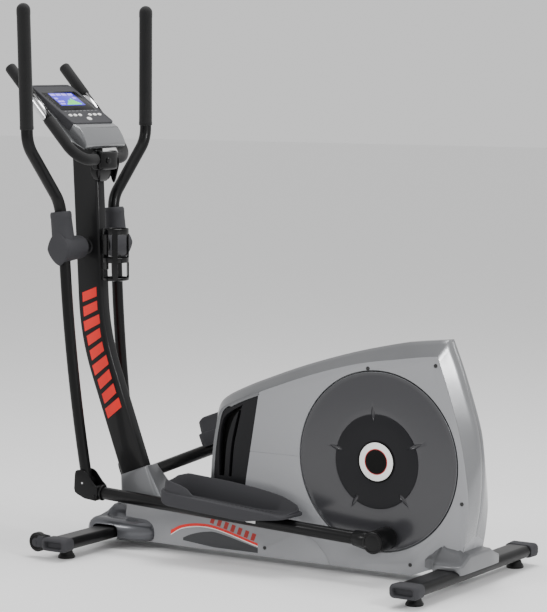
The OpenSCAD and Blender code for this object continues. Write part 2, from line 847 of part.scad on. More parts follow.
// ---- swing arms ----
// Shallow forward bow of the lower tube, in the swing arm's frame
bow = 12;
bow_r = swing_len * swing_len / 8 / bow + bow / 2;
bow_angle = 2 * asin(swing_len / 2 / bow_r);
module swing_tube(side) {
    color("#2a2a2a") at_swing(side) difference() {
        union() {
            translate([bow_r - bow, arm_y, -swing_len / 2])
                rotate([90, 0, 0]) rotate([0, 0, 180 - bow_angle / 2])
                    rotate_extrude(angle = bow_angle) translate([bow_r, 0]) circle(d = swing_d);
            y_rod(hub_d, hub_in, hub_out);
            translate([0, arm_y, 0]) cylinder(d = stub_d, h = stub_top);
            y_rod(clevis_pin_d + 24, arm_y - clevis_half, arm_y + clevis_half, [0, -swing_len]);
        }
        y_rod(pivot_d + 2 * run_gap, hub_in - 1, hub_out + 1);
        y_rod(clevis_pin_d + 2 * run_gap, arm_y - 40, arm_y + 40, [0, -swing_len]);
        translate([0, arm_y, hub_d / 2 - 2]) cylinder(d = bar_d, h = stub_top);
        difference() {
            translate([-40, arm_y - 40, -swing_len - 40]) cube([80, 80, 40 + swing_d]);
            translate([-40, arm_y - clevis_half, -swing_len - 60]) cube([80, 2 * clevis_half, 120]);
        }
    }
}
module left_swing_tube() swing_tube(-1);
module right_swing_tube() swing_tube(1);

// Plastic cover round the pivot hub and the handlebar socket
module joint_cover(side) {
    color("#242424") at_swing(side) difference() {
        union() {
            y_rod(sleeve_d, sleeve_in, hub_out + 3);
            hull() {
                y_rod(cap_w - 18, hub_out - 2, hub_out + 4, [0, 6]);
                y_rod(20, hub_out - 2, hub_out + 6, [0, cap_h / 2 - 14]);
                y_rod(20, hub_out - 2, hub_out + 6, [0, -cap_h / 2 + 8]);
                y_rod(16, hub_out - 2, hub_out + 7, [-cap_w / 2 + 10, -2]);
                y_rod(16, hub_out - 2, hub_out + 7, [cap_w / 2 - 10, -2]);
            }
            translate([0, arm_y, 0]) cylinder(d1 = 68, d2 = 63, h = stub_top + 20);
        }
        y_rod(hub_d + loose, sleeve_in - 1, hub_out);
        y_rod(pivot_d + 14, hub_in - 3, hub_out + 4);
        translate([0, arm_y, 0]) cylinder(d = stub_d + loose, h = stub_top);
        translate([0, arm_y, 0]) cylinder(d = bar_d + 0.6, h = stub_top + 30);
        translate([0, arm_y, -60]) cylinder(d = swing_d + 12, h = 60);
    }
}
module left_joint_cover() joint_cover(-1);
module right_joint_cover() joint_cover(1);

// Upper handlebar: straight in its socket, then outward and up to the grip
grip_low_z = 357;
grip_low_x = 28;
grip_lean = 5.2;
function bar_points() = [
    [0, arm_y, hub_d / 2 - 1],
    [0, arm_y, stub_top + 48],
    [grip_low_x - 3, grip_y, grip_low_z - 40],
    [grip_low_x + grip_len * tan(grip_lean), grip_y, grip_low_z + grip_len - 4],
];
module handlebar(side) {
    color("#2a2a2a") at_swing(side)
        bent_tube(bar_points(), bar_d, 90, wall, [1, 0, 0]);
}
module left_handlebar() handlebar(-1);
module right_handlebar() handlebar(1);
module grip(side) {
    p = bar_points();
    v = unit(p[3] - p[2]);
    a = p[2] + v * 44;
    color("#1a1a1a") at_swing(side) difference() {
        union() {
            rod(a, p[3] - v * 8, grip_d);
            translate(p[3] - v * 8) sphere(d = grip_d);
        }
        rod(a - v * 5, p[3] + v * 0.1, bar_d);
    }
}
module left_grip() grip(-1);
module right_grip() grip(1);

module pivot_axle() {
    color("#8a8a8a") at_crank() {
        y_rod(pivot_d, -hub_out - 2.5, hub_out + 2.5, pivot);
    }
}

module clevis_pin(side) {
    pin = side < 0 ? left_clevis : right_clevis;
    out = arm_y + clevis_half + loose + plate_t;
    color("#c8c8c8") at_crank() to_side(side) {
        y_rod(clevis_pin_d, arm_y - clevis_half - plate_t - 5, out + 2, pin);
        y_rod(clevis_pin_d + 10, out + 0.4, out + 7, pin);
    }
}
module left_clevis_pin() clevis_pin(-1);
module right_clevis_pin() clevis_pin(1);

// ---- pedal arms ----
tube_drop = 25;
module pedal_arm(side) {
    half = clevis_half + loose + plate_t;
    slope = atan2(tube_drop, rod_len);
    color("#2c2c2c") at_arm(side) difference() {
        union() {
            translate([40, arm_y, -tube_drop]) rotate([0, 90 - slope, 0])
                difference() {
                    cylinder(d = rod_d, h = rod_len - 40);
                    translate([0, 0, 10]) cylinder(d = rod_d - 2 * wall - 1, h = rod_len - 70);
                }
            for (k = [-1, 1])
                slab(arm_y + k * (clevis_half + loose + plate_t / 2) - plate_t / 2,
                     arm_y + k * (clevis_half + loose + plate_t / 2) + plate_t / 2)
                    polygon([
                        [-30, 20],
                        [-20, 30],
                        [16, 30],
                        [54, -2],
                        [54, -46],
                        [8, -46],
                        [-30, -16],
                    ]);
            translate([38, arm_y - half + 1, -46]) cube([14, 2 * half - 2, 42]);
            y_rod(housing_d, housing_in, housing_out, [rod_len, 0]);
            translate([rod_len - 66, arm_y, -66 * sin(slope)]) rotate([0, 90 - slope, 0])
                cylinder(d = rod_d + 10, h = 40);
        }
        y_rod(clevis_pin_d + 2 * run_gap, 0, 2 * arm_y, [0, 0]);
        y_rod(housing_d - 14, housing_out - 3, housing_out + 1, [rod_len, 0]);
    }
}
module left_pedal_arm() pedal_arm(-1);
module right_pedal_arm() pedal_arm(1);

// Foot tray on top of the pedal arm
pedal_in = 80;
pedal_out = 196;
pedal_front = 296;
pedal_rear = 745;
module pedal_outline(wall_in) {
    polygon([
        [pedal_front - 6 + wall_in, 4 + wall_in],
        [pedal_front + wall_in, 60],
        [pedal_front + 8 + wall_in, 78],
        [pedal_front + 60, 92 + wall_in],
        [pedal_front + 130, 84 + wall_in],
        [pedal_rear - 40, 54 + wall_in],
        [pedal_rear - wall_in, 56 + wall_in],
        [pedal_rear - 6 - wall_in, 48],
        [pedal_rear - 110, 20 + wall_in],
        [pedal_rear - 150, 6 + wall_in],
    ]);
}
module pedal(side) {
    color("#1e1e1e") at_arm(side) difference() {
        translate([0, 0, -tube_drop / 2]) difference() {
            hull() {
                slab(pedal_in, pedal_out) pedal_outline(6);
                slab(pedal_in + 5, pedal_out - 5) pedal_outline(0);
            }
            slab(pedal_in + 4, pedal_out - 4) polygon([
                [pedal_front + 4, 24],
                [pedal_front + 12, 130],
                [pedal_rear + 20, 130],
                [pedal_rear + 20, 51],
                [pedal_rear - 6, 51],
                [pedal_rear - 126, 24],
            ]);
        }
        translate([40, arm_y, -tube_drop]) rotate([0, 90 - atan2(tube_drop, rod_len), 0])
            cylinder(d = rod_d, h = rod_len);
    }
}
module left_pedal() pedal(-1);
module right_pedal() pedal(1);

// ---- console ----
// Frame on the console face: x up the face, y across, z out of the face
module at_face()
    at_crank() translate([console_low[0], 0, console_low[1]])
        rotate([0, 180 + console_tilt, 0]) mirror([0, 0, 1]) children();
module console_shell() {
    color("#202020") difference() {
        at_face() hull() {
            for (y = [-1, 1]) {
                translate([8, y * (console_half - 10), -console_t]) cylinder(r = 8, h = console_t);
                translate([console_len - 12, y * (console_half - 14), -16]) cylinder(r = 10, h = 16);
            }
        }
        at_face() slab(-console_half + 12, console_half - 12) polygon([
            [14, -console_t + 5],
            [14, -3],
            [console_len - 26, -3],
            [console_len - 26, -13],
        ]);
        at_face() translate([screen_u, -screen_half, -5]) cube([screen_len, 2 * screen_half, 6]);
        at_face() for (k = key_places)
            translate([k[0], k[1], -6]) cylinder(d = key_d + 2 * loose, h = 7);
        at_face() translate([key_low, 0, -6]) cylinder(d = enter_d + 2 * loose, h = 7);
        at_crank() mast_body(0.3);
    }
}
screen_u = 94;
screen_len = 66;
screen_half = 60;
key_d = 11;
enter_d = 15;
key_low = 23;
key_row = 43;
key_places = [for (v = [-73, -49, -25, 25, 49, 73]) [key_row, v]];
module screen() {
    color("#4858c8") at_face() translate([screen_u, -screen_half, -6])
        cube([screen_len, 2 * screen_half, 5.4]);
}
module circuit_board() {
    color("#2f6b3a") at_face() translate([18, -console_half + 16, -11.5])
        cube([console_len - 50, 2 * console_half - 32, 1.6]);
}
module key(place, d) {
    color("#c8c8c8") at_face() translate([place[0], place[1], -8.5]) cylinder(d = d, h = 10);
}
module key_1() key(key_places[0], key_d);
module key_2() key(key_places[1], key_d);
module key_3() key(key_places[2], key_d);
module key_4() key(key_places[3], key_d);
module key_5() key(key_places[4], key_d);
module key_6() key(key_places[5], key_d);
module enter_key() key([key_low, 0], enter_d);

module console_base() {
    color("#9c9c9c") difference() {
        at_crank() slab(-console_half + 14, console_half - 14) polygon([
            console_low + [-1, -4],
            console_low + [30, -60],
            console_low + [50, -68],
            console_low + [40, -80],
            [mast_top[0] - 50, mast_top[1] - 4],
            console_low + [-150, 66],
        ]);
        at_crank() slab(-console_half + 18, console_half - 18) polygon([
            console_low + [-10, -14],
            console_low + [22, -58],
            console_low + [30, -70],
            [mast_top[0] - 40, mast_top[1] + 4],
            console_low + [-130, 56],
        ]);
        at_face() translate([-60, -console_half, -console_t - 0.4])
            cube([400, 2 * console_half, 100]);
        at_crank() mast_body(0.3);
        at_crank() rail_solid(rail_d + 2);
    }
}

// ---- fixed handlebar ----
rail_rise = [-255, 278];
rail_at = on_tilt(mast_corner, mast_top_z - 90, mast_top_tilt)
    + [mast_depth / 2 + rail_d / 2 + 1.5, 0];
function rail_points() = [
    [rail_at[0] + rail_rise[0], -rail_y - 4, rail_at[1] + rail_rise[1]],
    [rail_at[0], -rail_y, rail_at[1]],
    [rail_at[0], rail_y, rail_at[1]],
    [rail_at[0] + rail_rise[0], rail_y + 4, rail_at[1] + rail_rise[1]],
];
rail_across = cross([rail_rise[0], 0, rail_rise[1]], [0, 1, 0]);
module rail_solid(d) swept(rounded_path(rail_points(), 60), round_ring(d), rail_across);
module fixed_handlebar() {
    color("#2a2a2a") at_crank() bent_tube(rail_points(), rail_d, 60, wall, rail_across);
}
module rail_sleeve(from, to, d) {
    p = rail_points();
    v = unit(p[1] - p[0]);
    for (side = [-1, 1])
        to_side(-side) rod(p[0] + v * from, p[0] + v * to, d);
}
module bar_grips() {
    color("#1a1a1a") at_crank() difference() {
        union() {
            rail_sleeve(-3, 120, rail_d + 7);
            rail_sleeve(214, 262, rail_d + 7);
        }
        rail_sleeve(0, 300, rail_d);
    }
}
module pulse_sensors() {
    color("#d0d0d0") at_crank() difference() {
        rail_sleeve(121, 213, rail_d + 5);
        rail_sleeve(100, 300, rail_d);
        rail_sleeve_cut();
    }
}
module rail_sleeve_cut() {
    p = rail_points();
    for (side = [-1, 1])
        to_side(-side)
            hull() {
                translate(p[0] - [30, 2, 0]) cube([60, 4, 1]);
                translate(p[1] - [30, 2, 0]) cube([60, 4, 1]);
            }
}
module bar_clamp() {
    color("#262626") at_crank() difference() {
        translate([rail_at[0] - rail_d / 2 - 6, -42, rail_at[1] - 38]) cube([rail_d + 18, 84, 64]);
        rail_solid(rail_d + 0.1);
        mast_body(0.1);
    }
}

// Cage on the rear of the mast that holds a drinking bottle
cage_at = [mast_top[0] + 106, 803];
cage_r = 38;
module bottle_holder() {
    color("#202020") at_crank() difference() {
        union() {
            translate([cage_at[0], 0, cage_at[1]]) {
                cylinder(r = cage_r + 3, h = 5);
                for (z = [56, 144])
                    translate([0, 0, z]) difference() {
                        cylinder(r = cage_r + 3, h = 14);
                        translate([0, 0, -1]) cylinder(r = cage_r, h = 16);
                    }
                for (a = [60, 180, 300])
                    rotate(a) translate([cage_r, -7, 0]) cube([3, 14, 158]);
            }
            translate([cage_at[0] - cage_r - 22, -12, cage_at[1] + 30]) cube([24, 24, 80]);
        }
        mast_body(0.1);
    }
}

// Screws and bolts
module fasteners() {
    color("#1a1a1a") at_crank() {
        for (side = [-1, 1], p = screw_points)
            to_side(side) y_rod(10, house_half - 3, house_half + 0.8, p);
        for (x = [foot_x_front + 6, foot_x_rear + 4], y = [-bolt_y, bolt_y]) {
            translate([x, y, stab_low - 5]) cylinder(d = 16, h = 5);
            translate([x, y, stab_low - 5]) cylinder(d = bolt_d, h = stab_h + 16);
            translate([x, y, stab_low + stab_h + wall + 1.2]) cylinder(d = 15, h = 7, $fn = 6);
        }
        at_foot() for (u = [-22, 22])
            y_rod(14, mast_w / 2, mast_w / 2 + 4, [u, 34]);
        at_foot() for (u = [-22, 22])
            y_rod(14, -mast_w / 2 - 4, -mast_w / 2, [u, 34]);
    }
}

base_frame();
front_stabilizer();
rear_stabilizer();
end_caps();
mast();
mast_base_cover();
left_shell();
right_shell();
front_insert();
top_trim();
rear_fascia();
front_foot_cover();
rear_foot_cover();
console_shell();
console_base();
screen();
circuit_board();
fixed_handlebar();
bar_clamp();
bar_grips();
pulse_sensors();
bottle_holder();
pivot_axle();
bearings();
belt();
brake_motor();
fasteners();
brake_bracket();
flywheel();
crank();
drive_pulley();
left_disc();
right_disc();
left_swing_tube();
right_swing_tube();
left_joint_cover();
right_joint_cover();
left_handlebar();
right_handlebar();
left_grip();
right_grip();
left_clevis_pin();
right_clevis_pin();
left_pedal_arm();
right_pedal_arm();
left_pedal();
right_pedal();
left_wheel();
right_wheel();
front_left_foot();
front_right_foot();
rear_left_foot();
rear_right_foot();
key_1();
key_2();
key_3();
key_4();
key_5();
key_6();
enter_key();
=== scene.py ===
"""Looks of an elliptical trainer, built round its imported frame.

Sizes are in millimetres in the machine's own frame: x rearward from the crank centre, y to
the machine's right, z up from the floor. Each finished mesh is put in metres in the row frame.
"""

import json
import logging
import math
from dataclasses import dataclass
from enum import Enum
from typing import Callable, Sequence

import bpy
from mathutils import Matrix, Vector

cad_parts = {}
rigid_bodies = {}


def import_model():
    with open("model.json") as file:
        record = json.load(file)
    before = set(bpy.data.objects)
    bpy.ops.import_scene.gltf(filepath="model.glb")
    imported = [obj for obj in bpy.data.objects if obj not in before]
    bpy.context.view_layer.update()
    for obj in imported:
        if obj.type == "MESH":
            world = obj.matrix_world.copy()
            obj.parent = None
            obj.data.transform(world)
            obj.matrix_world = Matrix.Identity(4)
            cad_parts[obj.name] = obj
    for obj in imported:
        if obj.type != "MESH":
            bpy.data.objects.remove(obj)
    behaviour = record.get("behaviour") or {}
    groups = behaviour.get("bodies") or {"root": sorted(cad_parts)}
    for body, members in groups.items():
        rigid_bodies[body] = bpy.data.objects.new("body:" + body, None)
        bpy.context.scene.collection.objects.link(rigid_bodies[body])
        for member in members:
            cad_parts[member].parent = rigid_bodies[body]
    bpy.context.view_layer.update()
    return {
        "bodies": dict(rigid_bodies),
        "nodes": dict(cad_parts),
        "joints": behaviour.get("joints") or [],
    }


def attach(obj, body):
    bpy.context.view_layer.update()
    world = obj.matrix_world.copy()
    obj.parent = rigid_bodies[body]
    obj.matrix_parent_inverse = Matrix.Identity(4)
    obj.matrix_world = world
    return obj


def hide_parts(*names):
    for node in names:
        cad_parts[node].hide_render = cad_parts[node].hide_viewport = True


logging.basicConfig(level=logging.INFO, format="%(message)s")
log = logging.getLogger("trainer")

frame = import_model()

Object = bpy.types.Object
Flat = tuple[float, float]
Rule = Callable[[Vector, Vector], bool]


class Surface(Enum):
    """Kinds of surface a finish can have."""

    PAINT = "paint"
    MOULDED = "moulded"
    METALLIC = "metallic"
    LACQUER = "lacquer"
    FOAM = "foam"
    METAL = "metal"
    RUBBER = "rubber"
    PRINT = "print"
    GLOW = "glow"


def rgb(code: str) -> tuple[float, float, float]:
    """Linear colour of a hexadecimal colour code."""
    parts = [int(code[i:i + 2], 16) / 255 for i in (0, 2, 4)]
    r, g, b = (c / 12.92 if c <= 0.04045 else ((c + 0.055) / 1.055) ** 2.4 for c in parts)
    return (r, g, b)


@dataclass(frozen=True)
class Finish:
    """A procedural finish read from object coordinates.

    Attributes:
        name: Name of the material.
        colour: Hexadecimal colour code.
        surface: Kind of surface.
        rough: Middle roughness.
        grain: Size of the fine grain, in millimetres.
        relief: Depth of the fine grain, in millimetres.
        drift: How much the colour wanders, as a share of itself.
        coat: Weight of the clear coat.
    """

    name: str
    colour: str
    surface: Surface
    rough: float
    grain: float = 0.8
    relief: float = 0.05
    drift: float = 0.08
    coat: float = 0.0

    def _noise(self, nodes, links, coords, size_mm: float, detail: float):
        """Adds one noise texture of a given size."""
        noise = nodes.new("ShaderNodeTexNoise")
        noise.inputs["Scale"].default_value = 1000 / size_mm
        noise.inputs["Detail"].default_value = detail
        links.new(coords.outputs["Object"], noise.inputs["Vector"])
        return noise

    def material(self) -> bpy.types.Material:
        """Builds the material once and returns it after that."""
        known = bpy.data.materials.get(self.name)
        if known:
            return known
        made = bpy.data.materials.new(self.name)
        made.use_nodes = True
        nodes, links = made.node_tree.nodes, made.node_tree.links
        shader = nodes["Principled BSDF"]
        coords = nodes.new("ShaderNodeTexCoord")
        cloud = self._noise(nodes, links, coords, 90, 3)
        fine = self._noise(nodes, links, coords, self.grain, 4)
        blend = nodes.new("ShaderNodeMix")
        blend.data_type = "RGBA"
        base = rgb(self.colour)
        low = tuple(c * (1 - self.drift) for c in base)
        high = tuple(min(1.0, c * (1 + self.drift)) for c in base)
        blend.inputs[6].default_value = (*low, 1)
        blend.inputs[7].default_value = (*high, 1)
        both = nodes.new("ShaderNodeMath")
        both.operation = "MULTIPLY_ADD"
        both.inputs[1].default_value = 0.5
        links.new(fine.outputs["Fac"], both.inputs[0])
        half = nodes.new("ShaderNodeMath")
        half.operation = "MULTIPLY"
        half.inputs[1].default_value = 0.5
        links.new(cloud.outputs["Fac"], half.inputs[0])
        links.new(half.outputs[0], both.inputs[2])
        links.new(both.outputs[0], blend.inputs[0])
        links.new(blend.outputs[2], shader.inputs["Base Color"])
        spread = nodes.new("ShaderNodeMapRange")
        spread.inputs["To Min"].default_value = max(0.02, self.rough - 0.05)
        spread.inputs["To Max"].default_value = min(1.0, self.rough + 0.07)
        links.new(cloud.outputs["Fac"], spread.inputs["Value"])
        links.new(spread.outputs["Result"], shader.inputs["Roughness"])
        bump = nodes.new("ShaderNodeBump")
        bump.inputs["Strength"].default_value = 0.5
        bump.inputs["Distance"].default_value = self.relief / 1000
        links.new(fine.outputs["Fac"], bump.inputs["Height"])
        links.new(bump.outputs["Normal"], shader.inputs["Normal"])
        self._surface(nodes, links, coords, shader, bump)
        return made

    def _surface(self, nodes, links, coords, shader, bump) -> None:
        """Sets what only this kind of surface has."""
        kind = self.surface
        shader.inputs["Coat Weight"].default_value = self.coat
        shader.inputs["Coat Roughness"].default_value = 0.12
        if kind in (Surface.PAINT, Surface.MOULDED, Surface.LACQUER):
            shader.inputs["Specular IOR Level"].default_value = 0.16
        if kind is Surface.METALLIC:
            shader.inputs["Metallic"].default_value = 0.55
        elif kind is Surface.METAL:
            shader.inputs["Metallic"].default_value = 1.0
        elif kind in (Surface.FOAM, Surface.RUBBER):
            shader.inputs["Specular IOR Level"].default_value = 0.3
            shader.inputs["Sheen Weight"].default_value = 0.15
        elif kind is Surface.GLOW:
            shader.inputs["Emission Color"].default_value = (*rgb(self.colour), 1)
            shader.inputs["Emission Strength"].default_value = 0.9
        if kind is Surface.FOAM:
            cells = nodes.new("ShaderNodeTexVoronoi")
            cells.inputs["Scale"].default_value = 1000 / (2.4 * self.grain)
            links.new(coords.outputs["Object"], cells.inputs["Vector"])
            links.new(cells.outputs["Distance"], bump.inputs["Height"])


BLACK_PAINT = Finish("black_paint", "0a0a0b", Surface.PAINT, 0.34, 0.9, 0.06, 0.15, 0.12)
MAST_PAINT = Finish("mast_paint", "151516", Surface.PAINT, 0.42, 0.9, 0.06, 0.12, 0.15)
BLACK_PLASTIC = Finish("black_plastic", "070708", Surface.MOULDED, 0.38, 0.7, 0.04, 0.2, 0.05)
GLOSS_PLASTIC = Finish("gloss_plastic", "060607", Surface.LACQUER, 0.18, 1.5, 0.02, 0.15, 0.25)
SHELL_SILVER = Finish("shell_silver", "4c4d4f", Surface.METALLIC, 0.42, 0.35, 0.02, 0.06, 0.2)
TRIM_SILVER = Finish("trim_silver", "6b6c6e", Surface.METALLIC, 0.3, 0.35, 0.02, 0.06, 0.35)
FASCIA_SILVER = Finish("fascia_silver", "7f8082", Surface.METALLIC, 0.2, 0.35, 0.015, 0.05, 0.5)
DARK_SILVER = Finish("dark_silver", "55565a", Surface.METALLIC, 0.24, 0.35, 0.02, 0.08, 0.4)
INSERT_GREY = Finish("insert_grey", "1b1b1d", Surface.MOULDED, 0.45, 0.6, 0.06, 0.1)
# Black for the printed marks on the disc badges and for the painted shade behind the insert's slots.
PRINT_AND_SHADE_BLACK = Finish("print_and_shade_black", "030303", Surface.MOULDED, 0.6, 0.7, 0.06, 0.1)
DISC_BLACK = Finish("disc_black", "050507", Surface.LACQUER, 0.26, 1.2, 0.012, 0.1, 0.2)
DISC_GREY = Finish("disc_grey", "17171a", Surface.LACQUER, 0.4, 0.6, 0.03, 0.08, 0.05)
# Silver of the ring round each disc's edge: a painted highlight.
DISC_EDGE_HIGHLIGHT = Finish("disc_edge_highlight", "6a6b6e", Surface.METALLIC, 0.3, 0.6, 0.02, 0.06, 0.2)
BADGE_WHITE = Finish("badge_white", "f6f6f4", Surface.PRINT, 0.3, 0.5, 0.01, 0.02, 0.3)
BADGE_RED = Finish("badge_red", "b01408", Surface.PRINT, 0.35, 0.5, 0.01, 0.04, 0.3)
PRINT_ORANGE = Finish("print_orange", "e81000", Surface.PRINT, 0.45, 0.5, 0.01, 0.05, 0.1)
PRINT_DULL = Finish("print_dull", "a81404", Surface.PRINT, 0.5, 0.5, 0.01, 0.05, 0.1)
PRINT_WHITE = Finish("print_white", "f0eeea", Surface.PRINT, 0.4, 0.5, 0.01, 0.03, 0.2)
PRINT_DIM = Finish("print_dim", "77777a", Surface.PRINT, 0.4, 0.5, 0.01, 0.03, 0.1)
PRINT_GREY = Finish("print_grey", "3f4042", Surface.METALLIC, 0.45, 0.35, 0.02, 0.06, 0.1)
FOAM_BLACK = Finish("foam_black", "080809", Surface.FOAM, 0.75, 0.9, 0.3, 0.25)
RUBBER_BLACK = Finish("rubber_black", "080808", Surface.RUBBER, 0.6, 0.9, 0.1, 0.2)
CHROME = Finish("chrome", "e8e9ea", Surface.METAL, 0.3, 0.6, 0.01, 0.04)
STEEL = Finish("steel", "8f9194", Surface.METAL, 0.34, 0.5, 0.03, 0.08)
IRON = Finish("iron", "5b5c5e", Surface.METAL, 0.5, 1.2, 0.1, 0.15)
SCREW_BLACK = Finish("screw_black", "101011", Surface.METAL, 0.4, 0.5, 0.03, 0.1)
PULLEY_PLASTIC = Finish("pulley_plastic", "101011", Surface.MOULDED, 0.5, 0.9, 0.08, 0.1)
BOARD_GREEN = Finish("board_green", "2f6b3a", Surface.MOULDED, 0.4, 1.4, 0.05, 0.15)
MOTOR_GREEN = Finish("motor_green", "3c5a3c", Surface.MOULDED, 0.5, 1.1, 0.06, 0.12)
KEY_WHITE = Finish("key_white", "ededeb", Surface.MOULDED, 0.35, 0.5, 0.02, 0.03, 0.2)
SCREEN_BLUE = Finish("screen_blue", "3528b8", Surface.GLOW, 0.12, 2.0, 0.005, 0.12, 0.6)
SCREEN_PALE = Finish("screen_pale", "9a8ce6", Surface.GLOW, 0.3, 2.0, 0.005, 0.1)
SCREEN_GREEN = Finish("screen_green", "58c860", Surface.GLOW, 0.3, 2.0, 0.005, 0.1)


class Bench:
    """Modelling steps that every piece is made with."""

    @staticmethod
    def pick(*objects: Object) -> None:
        """Selects only these objects, the first one active."""
        if bpy.context.object and bpy.context.object.mode != "OBJECT":
            bpy.ops.object.mode_set(mode="OBJECT")
        bpy.ops.object.select_all(action="DESELECT")
        for one in objects:
            one.select_set(True)
        if objects:
            bpy.context.view_layer.objects.active = objects[0]

    @staticmethod
    def open_faces(obj: Object, rule: Rule) -> None:
        """Opens edit mode with the faces that the rule takes, by centre and normal."""
        Bench.pick(obj)
        bpy.ops.object.mode_set(mode="EDIT")
        bpy.ops.mesh.select_mode(type="FACE")
        bpy.ops.mesh.select_all(action="DESELECT")
        bpy.ops.object.mode_set(mode="OBJECT")
        for face in obj.data.polygons:
            face.select = rule(face.center, face.normal)
        bpy.ops.object.mode_set(mode="EDIT")

    @staticmethod
    def open_edges(obj: Object, rule: Rule) -> None:
        """Opens edit mode with the edges that the rule takes, by their two ends."""
        Bench.pick(obj)
        bpy.ops.object.mode_set(mode="EDIT")
        bpy.ops.mesh.select_mode(type="EDGE")
        bpy.ops.mesh.select_all(action="DESELECT")
        bpy.ops.object.mode_set(mode="OBJECT")
        spots = [v.co.copy() for v in obj.data.vertices]
        for edge in obj.data.edges:
            edge.select = rule(spots[edge.vertices[0]], spots[edge.vertices[1]])
        bpy.ops.object.mode_set(mode="EDIT")

    @staticmethod
    def close(obj: Object, merge: float = 0.01, outward: bool = True) -> Object:
        """Merges doubles, points the faces outwards and leaves edit mode."""
        Bench.open_faces(obj, lambda c, n: True)
        bpy.ops.mesh.select_all(action="SELECT")
        bpy.ops.mesh.remove_doubles(threshold=merge)
        bpy.ops.mesh.delete_loose(use_verts=True, use_edges=True, use_faces=False)
        bpy.ops.mesh.select_all(action="SELECT")
        if outward:
            bpy.ops.mesh.normals_make_consistent(inside=False)
        bpy.ops.object.mode_set(mode="OBJECT")
        return obj

    @staticmethod
    def prism(outline: Sequence[Flat], y0: float, y1: float) -> Object:
        """Solid between two y planes with an (x, z) outline."""
        Bench.pick()
        bpy.ops.mesh.primitive_circle_add(vertices=len(outline), radius=1, fill_type="NGON")
        obj = bpy.context.object
        for vertex, (x, z) in zip(obj.data.vertices, outline):
            vertex.co = (x, y0, z)
        Bench.open_faces(obj, lambda c, n: True)
        bpy.ops.mesh.extrude_region_move(TRANSFORM_OT_translate={"value": (0, y1 - y0, 0)})
        return Bench.close(obj)

    @staticmethod
    def block(low: Sequence[float], high: Sequence[float], round_by: float = 1) -> Object:
        """Box between two corners with rounded edges."""
        Bench.pick()
        bpy.ops.mesh.primitive_cube_add(size=1)
        obj = bpy.context.object
        for vertex in obj.data.vertices:
            vertex.co = [a if c < 0 else b for a, b, c in zip(low, high, vertex.co)]
        return Bench.bevel(obj, round_by) if round_by else obj

    @staticmethod
    def spin(profile: Sequence[Flat], at: Sequence[float], axis: str = "Y", steps: int = 64) -> Object:
        """Body of revolution from a closed profile of (radius, place along the axis).

        Args:
            profile: Ring of points, each a radius and a place along the axis.
            at: Point on the axis that the places are measured from.
            axis: "Y" or "Z".
            steps: Number of steps round the axis.

        Returns:
            The closed body.
        """
        Bench.pick()
        bpy.ops.mesh.primitive_circle_add(vertices=len(profile), radius=1, fill_type="NOTHING")
        obj = bpy.context.object
        for vertex, (r, h) in zip(obj.data.vertices, profile):
            vertex.co = Vector(at) + Vector((r, h, 0) if axis == "Y" else (r, 0, h))
        Bench.open_edges(obj, lambda a, b: True)
        turn_axis = (0, 1, 0) if axis == "Y" else (0, 0, 1)
        bpy.ops.mesh.spin(steps=steps, angle=2 * math.pi, center=at, axis=turn_axis)
        return Bench.close(obj)

    @staticmethod
    def tube(path: Sequence[Sequence[float]], width: float, sides: int = 6,
             widths: Sequence[float] | None = None) -> Object:
        """Round bar along a path, with a share of the full width at each point if given."""
        Bench.pick()
        bpy.ops.curve.primitive_nurbs_path_add()
        obj = bpy.context.object
        curve = obj.data
        curve.splines.clear()
        line = curve.splines.new("POLY")
        line.points.add(len(path) - 1)
        for k, (point, spot) in enumerate(zip(line.points, path)):
            point.co = (*spot, 1)
            point.radius = widths[k] if widths else 1
        curve.bevel_depth = width / 2
        curve.bevel_resolution = sides
        curve.use_fill_caps = True
        Bench.pick(obj)
        bpy.ops.object.convert(target="MESH")
        return Bench.close(bpy.context.object)

    @staticmethod
    def loft(rings: Sequence[Sequence[Sequence[float]]], closed: bool = True,
             capped: bool = True) -> Object:
        """Skin over rings of equal count, in order.

        Args:
            rings: The rings of points, each from the same starting place.
            closed: Whether each ring closes on itself.
            capped: Whether the first and last ring are filled.

        Returns:
            The skin, with its faces outwards.
        """
        count = len(rings[0])
        across = count if closed else count - 1
        Bench.pick()
        bpy.ops.mesh.primitive_grid_add(x_subdivisions=across, y_subdivisions=len(rings) - 1, size=2)
        obj = bpy.context.object
        for vertex in obj.data.vertices:
            i = round((vertex.co.x + 1) / 2 * across)
            j = round((vertex.co.y + 1) / 2 * (len(rings) - 1))
            vertex.co = rings[j][i % count]
        Bench.close(obj)
        if capped:
            Bench.open_faces(obj, lambda c, n: True)
            bpy.ops.mesh.select_all(action="SELECT")
            bpy.ops.mesh.fill_holes(sides=0)
            bpy.ops.mesh.select_all(action="SELECT")
            bpy.ops.mesh.normals_make_consistent(inside=False)
            bpy.ops.object.mode_set(mode="OBJECT")
        return obj

    @staticmethod
    def use(obj: Object, kind: str, **settings) -> Object:
        """Adds a modifier with these settings and applies it."""
        Bench.pick(obj)
        modifier = obj.modifiers.new(kind.lower(), kind)
        for key, value in settings.items():
            setattr(modifier, key, value)
        bpy.ops.object.modifier_apply(modifier=modifier.name)
        return obj

    @staticmethod
    def bevel(obj: Object, width: float, segments: int = 3, angle: float = 30) -> Object:
        """Rounds the edges sharper than an angle."""
        return Bench.use(obj, "BEVEL", width=width, segments=segments, limit_method="ANGLE",
                         angle_limit=math.radians(angle), use_clamp_overlap=True)

    @staticmethod
    def cut(obj: Object, *tools: Object) -> Object:
        """Takes the tools away from the piece and removes them."""
        for tool in tools:
            Bench.use(obj, "BOOLEAN", operation="DIFFERENCE", object=tool, solver="EXACT")
            bpy.data.objects.remove(tool)
        return obj

    @staticmethod
    def add(obj: Object, *others: Object) -> Object:
        """Unites the others with the piece and removes them."""
        for other in others:
            Bench.use(obj, "BOOLEAN", operation="UNION", object=other, solver="EXACT")
            bpy.data.objects.remove(other)
        return obj

